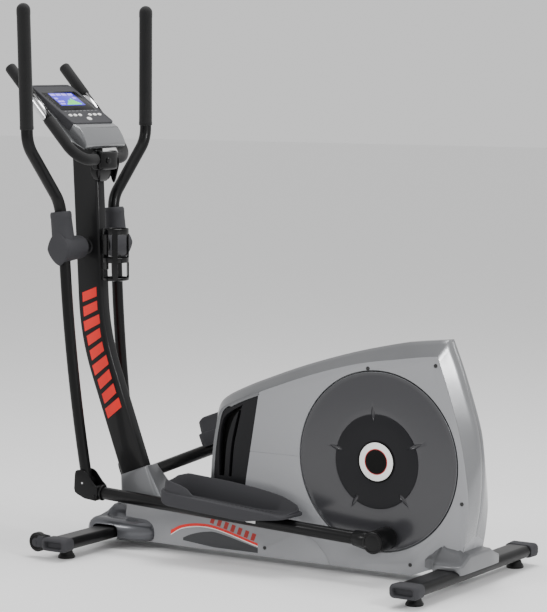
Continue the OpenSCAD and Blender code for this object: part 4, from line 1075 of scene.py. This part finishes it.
@dataclass
class SwingArms:
    """Joint covers, handlebars and foam grips of the two swing arms."""

    arm_y: float = 132
    bar_d: float = 36
    grip_d: float = 42
    grip_y: float = 292
    grip_len: float = 366
    low_z: float = 357
    low_x: float = 28
    lean: float = 5.2

    def where(self, side: str) -> Matrix:
        """Frame of one swing arm, z up along the arm from its pivot."""
        pivot = machine(joint_at(f"{side}_swing_pivot"))
        pin = machine(joint_at(f"{side}_arm_pitch"))
        angle = math.atan2(pin.x - pivot.x, pivot.z - pin.z)
        return (Matrix.Translation((pivot.x, 0, pivot.z)) @ Matrix.Rotation(-angle, 4, "Y")
                @ Matrix.Diagonal((1, -1 if side == "left" else 1, 1, 1)))

    def path(self) -> list[Vector]:
        """Corner points of the upper handlebar."""
        lean = self.grip_len * math.tan(math.radians(self.lean))
        return [Vector(p) for p in ((0, self.arm_y, 24), (0, self.arm_y, 140),
                                    (self.low_x - 3, self.grip_y, self.low_z - 40),
                                    (self.low_x + lean, self.grip_y, self.low_z + self.grip_len - 4))]

    def cover(self) -> Object:
        """Sleeve, ridged cap and handlebar socket of the joint."""
        rings = []
        for y, share in ((148, 0.84), (158, 0.97), (160.5, 1), (163, 0.99), (165.4, 0.9),
                         (167.4, 0.72), (168.8, 0.46), (169.4, 0.2)):
            ring = []
            for k in range(48):
                a = 2 * math.pi * k / 48
                c, s = math.cos(a), math.sin(a)
                reach = (abs(c / 40.5) ** 1.45 + abs(s / 52) ** 1.45) ** (-1 / 1.45)
                ridge = 1 + 0.9 * max(0.0, math.cos(4 * a)) ** 6 * (share < 0.95) * 0.06
                ring.append((c * reach * share * ridge, y, s * reach * share * ridge + 1))
            rings.append(ring)
        cap = Bench.loft(rings)
        sleeve = Bench.spin([(25.4, 54), (33, 54), (34.6, 55.4), (35, 58), (37.5, 90), (40, 118),
                             (41.5, 140), (41, 152), (38, 160), (25.4, 160)], (0, 0, 0), steps=48)
        socket = Bench.spin([(0, 6), (35, 6), (34, 34), (31.8, 92), (32.6, 93.6), (32.4, 106),
                             (29.4, 112), (18.4, 112), (18.4, 104), (0, 104)],
                            (0, self.arm_y, 0), "Z", 48)
        ridge = Bench.loft([[(x, y, z) for x, y in
                             ((-30 * w, 124), (30 * w, 124), (26 * w, 158), (0, 163.6 - 4 * k / 3),
                              (-26 * w, 158))] for k, (z, w) in
                            enumerate(((20, 1.25), (44, 1.08), (64, 0.86), (82, 0.5)))])
        Bench.use(ridge, "SUBSURF", levels=2, render_levels=2)
        return Bench.bevel(Bench.join(cap, sleeve, socket, ridge), 0.7, 2, 35)

    def bar(self) -> Object:
        """Bent handlebar tube."""
        return Bench.tube(round_corners(self.path(), 90, 10), self.bar_d, 8)

    def grip(self) -> Object:
        """Foam grip with a square lower end and a domed top."""
        a, b = self.path()[2:]
        along = (b - a).normalized()
        start, length = a + along * 44, (b - a).length - 52
        half = self.grip_d / 2
        profile = [(half - 2.4, -0.5), (half - 0.6, 0), (half, 1.6), (half, 9), (half - 0.5, 12),
                   (half - 0.5, length - 16), (half, length - 12), (half, length)]
        profile += [(half * math.cos(math.radians(a)), length + half * math.sin(math.radians(a)))
                    for a in range(10, 91, 10)]
        foam = Bench.spin([(0, -0.5)] + profile, (0, 0, 0), "Z", 40)
        turn = Vector((0, 0, 1)).rotation_difference(along).to_matrix().to_4x4()
        return Bench.place(foam, Matrix.Translation(start) @ turn)

    def build(self) -> None:
        """Makes the pieces once and copies them to both sides."""
        for name, make, finish, slot, node in (
                ("joint_cap", self.cover, BLACK_PLASTIC, "black_plastic", "joint_cover"),
                ("hand_bar", self.bar, BLACK_PAINT, "frame_black", "handlebar"),
                ("foam_grip", self.grip, FOAM_BLACK, "foam", "grip")):
            piece = make()
            for side in ("left", "right"):
                publish(Bench.copy(piece), f"{side}_{name}", finish, f"{side}_swing",
                        [f"{side}_{node}"], self.where(side))
            bpy.data.objects.remove(piece)


@dataclass
class PedalArms:
    """Pedal arms with their clevis, bearing housing and trays."""

    arm_y: float = 132
    length: float = 1017.7
    drop: float = 25
    tube_d: float = 38
    front: float = 289
    rear: float = 748
    inner: float = 80
    outer: float = 196

    def where(self, side: str) -> Matrix:
        """Frame of one pedal arm, x rearward from its clevis pin."""
        pin = machine(joint_at(f"{side}_arm_pitch"))
        rise = CRANK_Z + (-1 if side == "left" else 1) * 218 * math.cos(math.radians(11.13))
        run = (1 if side == "left" else -1) * 218 * math.sin(math.radians(11.13))
        angle = math.atan2(rise - pin.z, run - pin.x)
        return (Matrix.Translation((pin.x, 0, pin.z)) @ Matrix.Rotation(-angle, 4, "Y")
                @ Matrix.Diagonal((1, -1 if side == "left" else 1, 1, 1)))

    def arm(self) -> Object:
        """Tube, clevis plates, collars and bearing housing."""
        y, slope = self.arm_y, self.drop / self.length
        tube = Bench.tube([(42, y, -24), (self.length - 12, y, -0.4)], self.tube_d, 10)
        plate = flow([(-31, 20), (-29.5, 30), (-24, 36), (-12, 38.5), (2, 38), (14, 32), (26, 20),
                      (40, 6), (54, -4)], 3) + [(56, -10), (56, -42), (52, -47), (10, -46), (-18, -37),
                                                (-27, -32), (-31, -22)]
        plates = [Bench.bevel(Bench.prism(plate, y + k - 2.5, y + k + 2.5), 1.2) for k in (-23, 23)]
        block = Bench.block((38, y - 21, -46), (55, y + 21, -3), 3)
        turn = Matrix.Translation((0, y, -self.drop)) @ Matrix.Rotation(math.pi / 2 - slope, 4, "Y")
        collar = Bench.place(Bench.spin([(17, 52), (22.5, 52), (23.5, 53.5), (23.5, 62), (22, 64),
                                         (17, 64)], (0, 0, 0), "Z", 40), turn)
        sleeve = Bench.place(Bench.spin([(17, 946), (21, 946), (22.4, 948), (22.6, 957), (24, 959),
                                         (24, 992), (17, 992)], (0, 0, 0), "Z", 40), turn)
        housing = Bench.spin([(0, 69), (29, 69), (31.5, 71), (32.5, 74), (32.5, 147), (31.9, 148),
                              (31.9, 150), (32.5, 151), (32.5, 154), (31, 157.4), (28, 159),
                              (25.5, 159), (24.6, 157), (20, 157.8), (10, 158.8), (0, 159)],
                             (self.length, 0, 0), steps=64)
        bolt = Bench.spin([(0, y + 24), (4.5, y + 24), (4.5, y + 27.4), (3.6, y + 28), (0, y + 28)],
                          (46, 0, -32), steps=6)
        return Bench.bevel(Bench.join(tube, *plates, block, collar, sleeve, housing, bolt), 0.4, 2, 40)

    def _ring(self) -> list[Flat]:
        """Outline of the tray from above."""
        f, r, a, b = self.front, self.rear, self.inner, self.outer
        half = (b - a) / 2
        nose = [(f + 62 - 62 * math.sin(math.radians(t)), (a + b) / 2 - half * math.cos(math.radians(t)))
                for t in range(0, 181, 12)]
        back = [(r - 26 + 26 * math.sin(math.radians(t)), b - 26 + 26 * math.cos(math.radians(t)))
                for t in range(0, 91, 15)]
        back += [(x, a + b - y) for x, y in reversed(back)]
        top = [(f + 62 + (r - 26 - f - 62) * k / 16, b) for k in range(1, 16)]
        low = [(x, a) for x, _ in reversed(top)]
        return nose + top + back + low

    def _rim(self, x: float, y: float) -> float:
        """Height of the rim, high round the toe and along the outer side."""
        f = self.front
        spots = ((f, 70), (f + 14, 80), (f + 44, 80), (f + 84, 74), (f + 112, 66), (f + 126, 50),
                 (f + 400, 44), (f + 459, 40))
        inner = ((f, 70), (f + 16, 84), (f + 50, 92), (f + 200, 92), (f + 300, 88), (f + 380, 80),
                 (f + 425, 66), (f + 459, 52))
        share = max(0.0, min(1.0, (y - self.inner) / (self.outer - self.inner)))
        return (1 - share) * self._between(inner, x) + share * self._between(spots, x)

    @staticmethod
    def _between(spots: Sequence[Flat], x: float) -> float:
        """Height at x on a line of points."""
        for (xa, za), (xb, zb) in zip(spots, spots[1:]):
            if x <= xb:
                t = max(0.0, (x - xa) / (xb - xa))
                return za + (zb - za) * t
        return spots[-1][1]

    def _ledge(self, x: float, y: float) -> float:
        """Height of the ledge half-way up the side."""
        return self._between(((300, 47), (420, 45), (660, 43), (748, 42)), x)

    def _base(self, x: float, y: float) -> float:
        """Height of the tray's underside."""
        return self._between(((300, 5), (600, 5), (640, 14), (735, 32), (748, 34)), x)

    def _floor(self, x: float, y: float) -> float:
        """Height of the tray's floor."""
        return self._between(((300, 25), (610, 25), (650, 29), (730, 38), (748, 40)), x)

    def tray(self) -> Object:
        """Foot tray with a two-step side, a raised rim and a ribbed floor."""
        ring, drop = self._ring(), -self.drop / 2
        steps = ((8, self._base, 0), (4, self._base, 3), (0.8, self._base, 9), (0, self._ledge, -6),
                 (0.6, self._ledge, -1.6), (2.4, self._ledge, 0), (9, self._ledge, 0.4),
                 (10.4, self._rim, -9), (11, self._rim, -2.6), (12, self._rim, -0.7),
                 (13.6, self._rim, 0), (15.2, self._rim, -0.8), (16.4, self._rim, -3.4),
                 (19, self._floor, 5), (23, self._floor, 0))
        rings = []
        for by, height, lift in steps:
            rings.append([(p[0], p[1], max(height(*q) + lift, self._ledge(*q) + 0.8)
                           + drop if height == self._rim else height(*q) + lift + drop)
                          for p, q in zip(inset(ring, by) if by else ring, ring)])
        last = inset(ring, 23)
        for share in (0.75, 0.5, 0.25, 0.02):
            row = [(p[0], 138 + (p[1] - 138) * share) for p in last]
            rings.append([(x, y, self._floor(x, y) + drop) for x, y in row])
        tray = Bench.loft(rings)
        ribs = []
        for k in range(17):
            x = self.front + 62 + 18 * k
            z = self._floor(x + 3, 0) + drop
            ribs.append(Bench.block((x, 100, z - 2), (x + 7, 176, z + 1.6), 0.7))
        return Bench.bevel(Bench.join(tray, *ribs), 0.4, 2, 50)

    def pin(self) -> Object:
        """Clevis pin with chamfered ends, flush with the plates."""
        y = self.arm_y
        return Bench.bevel(Bench.spin([(0, y - 27), (5, y - 27), (6, y - 26), (6, y + 26), (5.4, y + 26.8),
                                       (0, y + 26.8)], (0, 0, 0), steps=32), 0.2, 2)

    def dot(self) -> Object:
        """Bright grease point in the end of the pin."""
        y = self.arm_y + 26.6
        return Bench.spin([(0, y), (2.6, y), (2.6, y + 0.8), (1.6, y + 1.5), (0, y + 1.7)],
                          (0, 0, 0), steps=24)

    def bracket(self) -> Object:
        """Bright block that holds the tray on its tube."""
        parts = [Bench.block((x, 110, -16), (x + 34, 154, 0), 1.5) for x in (420, 590)]
        return Bench.join(*parts)

    def build(self) -> None:
        """Makes the pieces once and copies them to both sides."""
        for name, make, finish, slot, node in (
                ("arm_tube", self.arm, BLACK_PAINT, "frame_black", "pedal_arm"),
                ("foot_tray", self.tray, BLACK_PLASTIC, "black_plastic", "pedal"),
                ("tray_bracket", self.bracket, STEEL, "steel", ""),
                ("pin_body", self.pin, SCREW_BLACK, "frame_black", "clevis_pin"),
                ("pin_dot", self.dot, CHROME, "chrome", "")):
            piece = make()
            for side in ("left", "right"):
                body = f"{side}_pin" if name.startswith("pin") else f"{side}_arm"
                publish(Bench.copy(piece), f"{side}_{name}", finish, body,
                        [f"{side}_{node}"] if node else (), self.where(side))
            bpy.data.objects.remove(piece)


@dataclass
class Console:
    """Console slab, its screen and keys, and the silver cover below it."""

    half: float = 104
    low: Flat = (-1035.3, 1281)
    tilt: float = 34
    top: Flat = (-1065.3, 1262)

    def where(self) -> Matrix:
        """Frame of the face: x up the face, y across, z out of it."""
        return (Matrix.Translation((self.low[0], 0, self.low[1]))
                @ Matrix.Rotation(math.radians(180 + self.tilt), 4, "Y")
                @ Matrix.Diagonal((1, 1, -1, 1)))

    def _sheet(self, ring: Sequence[Flat], z0: float, z1: float) -> Object:
        """Solid between two heights of the face, with an (x, y) outline."""
        return Bench.loft([[(x, y, z) for x, y in ring] for z in (z0, z1)])

    def slab(self) -> Object:
        """Slim slab with a raised edge round its glossy face."""
        ring = self._outline(0)
        rings = [[(x, y, -30 + 12 * max(0, x - 8) / 190) for x, y in inset(ring, 3)],
                 [(x, y, -27 + 12 * max(0, x - 8) / 190) for x, y in ring],
                 [(x, y, -2) for x, y in ring], [(x, y, -0.3) for x, y in inset(ring, 1.2)],
                 [(x, y, 0) for x, y in inset(ring, 3)], [(x, y, 0) for x, y in inset(ring, 6)],
                 [(x, y, -1.2) for x, y in inset(ring, 7)]]
        return Bench.bevel(Bench.loft(rings), 0.4, 2, 40)

    def _outline(self, by: float) -> list[Flat]:
        """Outline of the face, a little narrower at its top."""
        half = self.half
        right = flow([(0.5, 0), (0.5, half - 22), (2.5, half - 8), (10, half - 1), (24, half),
                      (110, half - 2), (186, half - 6), (200, half - 12), (205, half - 24), (205, 0)], 3)
        ring = right + [(x, -y) for x, y in reversed(right[1:-1])]
        return inset(ring, by) if by else ring

    def panel(self) -> Object:
        """Glossy window round the screen."""
        return Bench.bevel(self._sheet([(x + 119, y) for x, y in round_box(96, 172, 8)], -1.6, -0.5),
                           0.3, 2)

    def lcd(self) -> Object:
        """Lit screen."""
        return Bench.bevel(self._sheet([(x + 127, y) for x, y in round_box(66, 120, 3)], -3, -0.2), 0.2, 2)

    def graph(self) -> Object:
        """Row of bars like a hill on the screen."""
        heights = (5, 9, 14, 20, 25, 21, 28, 33, 26, 18, 12, 7)
        return Bench.join(*[Bench.block((98, -24 + 6 * k, -0.4), (98 + h, -18.6 + 6 * k, 0.1), 0.12)
                            for k, h in enumerate(heights)])

    def fields(self) -> Object:
        """Pale number fields and lines on the screen."""
        spots = [(146, y, 10, 22) for y in (-56, -28, 0, 30)] + [(128, y, 8, 16) for y in (-56, 34)]
        spots += [(112, y, 8, 14) for y in (-54, -38)] + [(100, y, 7, 10) for y in (-54, -42)]
        return Bench.join(*[Bench.block((x, y, -0.4), (x + w, y + h, 0.05), 0.12)
                            for x, y, w, h in spots])

    def legends(self) -> Object:
        """Short printed dashes above the keys."""
        return Bench.join(*[Bench.block((x, -78 + 19 * k, -1.4), (x + 2, -67 + 19 * k, -0.6), 0.1)
                            for x in (64, 77) for k in range(9)])

    def key(self, at: Flat, width: float, height: float) -> Object:
        """Oval key with a domed top."""
        rings = []
        for z, share in ((-8, 1), (0.6, 1), (1.2, 0.92), (1.5, 0.7), (1.6, 0.3)):
            rings.append([(at[0] + x * share * height / 2, at[1] + y * share * width / 2, z)
                          for x, y in circle(1, 32)])
        return Bench.loft(rings)

    def cover(self) -> Object:
        """Silver cover below the slab, with a chamfered lower band."""
        x, z = self.low
        ring = [(x - 1, z - 3), (x + 18, z - 14), (x + 36, z - 40), (x + 46, z - 62), (x + 45, z - 69),
                (x + 34, z - 78), (self.top[0] - 46, self.top[1] - 4), (x - 150, z + 66)]
        cover = Bench.prism(ring, -self.half + 6, self.half - 6)
        return Bench.bevel(Bench.bevel(cover, 5, 4, 20), 0.8, 2, 40)

    def build(self) -> None:
        """Makes, dresses and places the console."""
        face = self.where()
        publish(self.slab(), "console_slab", BLACK_PLASTIC, "frame",
                ["console_shell"], face)
        publish(self.panel(), "console_window", GLOSS_PLASTIC, "frame", (), face)
        publish(self.lcd(), "console_screen", SCREEN_BLUE, "frame", ["screen"], face)
        publish(self.graph(), "screen_graph", SCREEN_GREEN, "frame", (), face)
        publish(self.fields(), "screen_fields", SCREEN_PALE, "frame", (), face)
        publish(self.legends(), "console_legends", PRINT_DIM, "frame", (), face)
        for number, across in enumerate((-73, -49, -25, 25, 49, 73), start=1):
            publish(self.key((43, across), 16, 10.6), f"key_cap_{number}", KEY_WHITE,
                    f"key_{number}", [f"key_{number}"], face)
        publish(self.key((23, 0), 21, 15), "enter_key_cap", KEY_WHITE,
                "enter_key", ["enter_key"], face)
        publish(self.cover(), "console_cover", FASCIA_SILVER, "frame",
                ["console_base"])


@dataclass
class FixedRail:
    """Fixed handlebar with its foam, pulse plates and clamp."""

    tube_d: float = 28
    half: float = 130
    at: Flat = (-998.8, 1172)
    rise: Flat = (-255, 278)

    def corners(self) -> list[Vector]:
        """Corner points of the rail, left end to right end."""
        (x, z), (dx, dz) = self.at, self.rise
        return [Vector(p) for p in ((x + dx, -self.half - 4, z + dz), (x, -self.half, z),
                                    (x, self.half, z), (x + dx, self.half + 4, z + dz))]

    def bar(self) -> Object:
        """Bent rail tube."""
        return Bench.tube(round_corners(self.corners(), 60, 10), self.tube_d, 8)

    def _along(self, piece: Object, side: int) -> Object:
        """Turns a piece made along z onto one arm of the rail, from its end inwards."""
        p = self.corners()
        start, inward = (p[0], p[1]) if side < 0 else (p[3], p[2])
        along = (inward - start).normalized()
        across = Vector((0, side, 0))
        third = along.cross(across).normalized()
        across = third.cross(along)
        turn = Matrix((across, third, along)).transposed().to_4x4()
        return Bench.place(piece, Matrix.Translation(start) @ turn)

    def foam(self) -> Object:
        """Foam on both arms: a long upper grip with a domed end and a short lower one."""
        r = self.tube_d / 2 + 3.5
        upper = [(0, -3), (8, -2.8), (r - 3, -1.6), (r - 0.8, 1.5), (r, 5), (r, 118), (r - 1, 120),
                 (0, 120)]
        made = [self._along(Bench.spin(upper, (0, 0, 0), "Z", 36), side) for side in (-1, 1)]
        line = round_corners(self.corners(), 60, 10)
        p = self.corners()
        start = p[0] + (p[1] - p[0]).normalized() * 214
        near = [start] + [q for q in line if q.y < -44 and q.z < start.z]
        near.append(Vector((p[1].x, -44, p[1].z)))
        for path in (near, [Vector((q.x, -q.y, q.z)) for q in near]):
            made.append(Bench.tube(path, 2 * r - 1.4, 10))
        return Bench.join(*made)

    def plates(self) -> Object:
        """Bright half plates of the pulse sensors, their ends drawn to a point."""
        r, made = self.tube_d / 2 + 2.3, []
        for side in (-1, 1):
            for turn in (1, -1):
                rings = []
                for k in range(13):
                    t = k / 12
                    spread = math.radians(18 + 58 * math.sin(math.pi * min(1, max(0, t))) ** 0.6)
                    row = []
                    for reach in (r, r - 1.6):
                        row.append([(turn * reach * math.cos(a), reach * math.sin(a), 124 + 86 * t)
                                    for a in [(-spread + 2 * spread * j / 10) for j in range(11)]])
                    rings.append(row[0] + row[1][::-1])
                made.append(self._along(Bench.loft(rings), side))
        return Bench.join(*made)

    def core(self) -> Object:
        """Black carrier under the plates."""
        r = self.tube_d / 2 + 1.6
        made = [self._along(Bench.spin([(0, 121), (r - 0.6, 121), (r, 122.5), (r, 211.5),
                                        (r - 0.6, 213), (0, 213)], (0, 0, 0), "Z", 36), s)
                for s in (-1, 1)]
        return Bench.join(*made)

    def clamp(self) -> Object:
        """Glossy clamp cover with a raised front."""
        x, z = self.at
        rings = []
        for y, grow, drop in ((-42, -7, 8), (-40, -3, 5), (-32, 0, 0), (-14, 1, -1), (14, 1, -1),
                              (32, 0, 0), (40, -3, 5), (42, -7, 8)):
            rings.append([(x + 2.5 + p, y, z - 5 + q + (drop if q > 0 else -0.4 * drop))
                          for p, q in round_box(43 + 2 * grow, 56 + 2 * grow, 9)])
        skirt = Bench.loft([[(x - 12 + p, q, z + low) for p, q in round_box(deep, 2 * half, 7)]
                            for low, deep, half in ((-26, 40, 36), (-44, 36, 34), (-60, 26, 28),
                                                    (-68, 16, 18))])
        leaf = flow([(x - 6, z + 22), (x + 14, z + 18), (x + 24, z - 8), (x + 16, z - 44),
                     (x + 4, z - 74), (x - 10, z - 44), (x - 14, z - 8)], 4)
        knob = Bench.spin([(0, 0), (8, 0), (9, 1), (9, 5), (7.6, 7), (0, 7.4)], (0, 0, 0), "Z", 24)
        Bench.place(knob, Matrix.Translation((x + 23, -14, z - 4)) @ Matrix.Rotation(math.pi / 2, 4, "Y"))
        return Bench.bevel(Bench.join(Bench.loft(rings), skirt, Bench.prism(leaf, 40, 45), knob), 0.8, 2, 40)

    def build(self) -> None:
        """Makes, dresses and places the rail."""
        publish(self.bar(), "rail_tube", BLACK_PAINT, "frame", ["fixed_handlebar"])
        foam = publish(self.foam(), "rail_foam", FOAM_BLACK, "frame", ["bar_grips"])
        publish(self.core(), "pulse_carriers", GLOSS_PLASTIC, "frame")
        publish(self.plates(), "pulse_plates", CHROME, "frame", ["pulse_sensors"])
        publish(self.clamp(), "rail_clamp", GLOSS_PLASTIC, "frame", ["bar_clamp"])


@dataclass
class BottleCage:
    """Bottle cage on the rear of the mast."""

    x: float = -959.3
    z: float = 803
    radius: float = 38

    def build(self) -> None:
        """Makes, dresses and places the cage."""
        r, x, z = self.radius, self.x, self.z
        bands = [Bench.spin([(r, h), (r + 0.6, h - 1), (r + 3, h), (r + 3, h + t), (r + 2, h + t + 1),
                             (r, h + t)], (x, 0, z), "Z", 56) for h, t in ((56, 14), (142, 16), (4, 5))]
        dish = Bench.spin([(0, 0), (r - 2, 0), (r + 2.6, 2), (r + 2.8, 6), (r, 6), (r - 3, 4), (0, 3)],
                          (x, 0, z), "Z", 56)
        bars = []
        for angle in (55, 130, 230, 305):
            bar = Bench.block((r - 0.2, -8, 2), (r + 3, 8, 157), 1)
            bars.append(Bench.place(bar, Matrix.Translation((x, 0, z))
                                    @ Matrix.Rotation(math.radians(angle), 4, "Z")))
        back = Bench.block((x - r - 12, -17, z + 30), (x - r + 1, 17, z + 156), 3)
        foot = Bench.block((x - r - 30, -12, z + 36), (x - r - 6, 12, z + 108), 2)
        cage = Bench.bevel(Bench.join(*bands, dish, *bars, back, foot), 0.4, 2, 45)
        publish(cage, "bottle_cage", GLOSS_PLASTIC, "frame", ["bottle_holder"])


@dataclass
class Studio:
    """Pale floor, soft lights and the camera."""

    eye: tuple[float, float, float] = (3.9909, -6.059, 1.485)
    pitch: float = 84.22
    yaw: float = 32.75
    lens: float = 145.6
    sensor: float = 36
    sky: float = 0.85
    floor_size: float = 60
    floor_tone: float = 0.9
    lamps: tuple = (("key", (-2.1, -4.3, 3.3), (0.2, 0, 0.6), 1.7, 75),
                    ("rear", (4.0, -1.0, 2.4), (0.4, 0, 0.5), 1.2, 80),
                    ("top", (0.3, 0.8, 4.5), (0.2, 0, 0.5), 2.6, 140))

    def lamp(self, name: str, at: Sequence[float], aim: Sequence[float], size: float,
             power: float) -> None:
        """Adds one soft area light."""
        bpy.ops.object.light_add(type="AREA", location=at)
        light = bpy.context.object
        light.name = name
        light.data.shape = "RECTANGLE"
        light.data.size = size
        light.data.size_y = size * 0.7
        light.data.energy = power
        light.rotation_euler = (Vector(aim) - Vector(at)).to_track_quat("-Z", "Y").to_euler()

    def build(self) -> None:
        """Sets the stage."""
        Bench.pick()
        bpy.ops.mesh.primitive_plane_add(size=self.floor_size, location=(0, 0, 0))
        floor = bpy.context.object
        floor.name = "floor"
        made = bpy.data.materials.new("pale_floor")
        made.use_nodes = True
        shader = made.node_tree.nodes["Principled BSDF"]
        shader.inputs["Base Color"].default_value = (*(self.floor_tone,) * 3, 1)
        shader.inputs["Roughness"].default_value = 0.6
        floor.data.materials.append(made)
        world = bpy.context.scene.world or bpy.data.worlds.new("studio")
        bpy.context.scene.world = world
        world.use_nodes = True
        sky = world.node_tree.nodes["Background"]
        sky.inputs["Color"].default_value = (1, 1, 1, 1)
        sky.inputs["Strength"].default_value = self.sky
        for name, at, aim, size, power in self.lamps:
            self.lamp(name, at, aim, size, power)
        bpy.ops.object.camera_add(location=self.eye, rotation=(math.radians(self.pitch), 0,
                                                               math.radians(self.yaw)))
        camera = bpy.context.object
        camera.data.lens = self.lens
        camera.data.sensor_width = self.sensor
        camera.data.clip_end = 200
        bpy.context.scene.camera = camera


KEPT = (("base_frame", BLACK_PAINT), ("front_stabilizer", BLACK_PAINT),
        ("rear_stabilizer", BLACK_PAINT), ("circuit_board", BOARD_GREEN), ("pivot_axle", STEEL),
        ("bearings", STEEL), ("belt", RUBBER_BLACK), ("brake_motor", MOTOR_GREEN),
        ("fasteners", SCREW_BLACK), ("brake_bracket", IRON), ("flywheel", IRON), ("crank", IRON),
        ("drive_pulley", PULLEY_PLASTIC), ("left_swing_tube", BLACK_PAINT),
        ("right_swing_tube", BLACK_PAINT))


def main() -> None:
    """Builds the sub-assemblies in order and dresses the kept nodes."""
    Studio().build()
    for part in (Stand(), Mast(), Housing(), DiscCovers(), SwingArms(), PedalArms(), Console(),
                 FixedRail(), BottleCage()):
        log.info("building %s", type(part).__name__)
        part.build()
    for node, finish in KEPT:
        dress(node, finish)


if __name__ == "__main__":
    main()
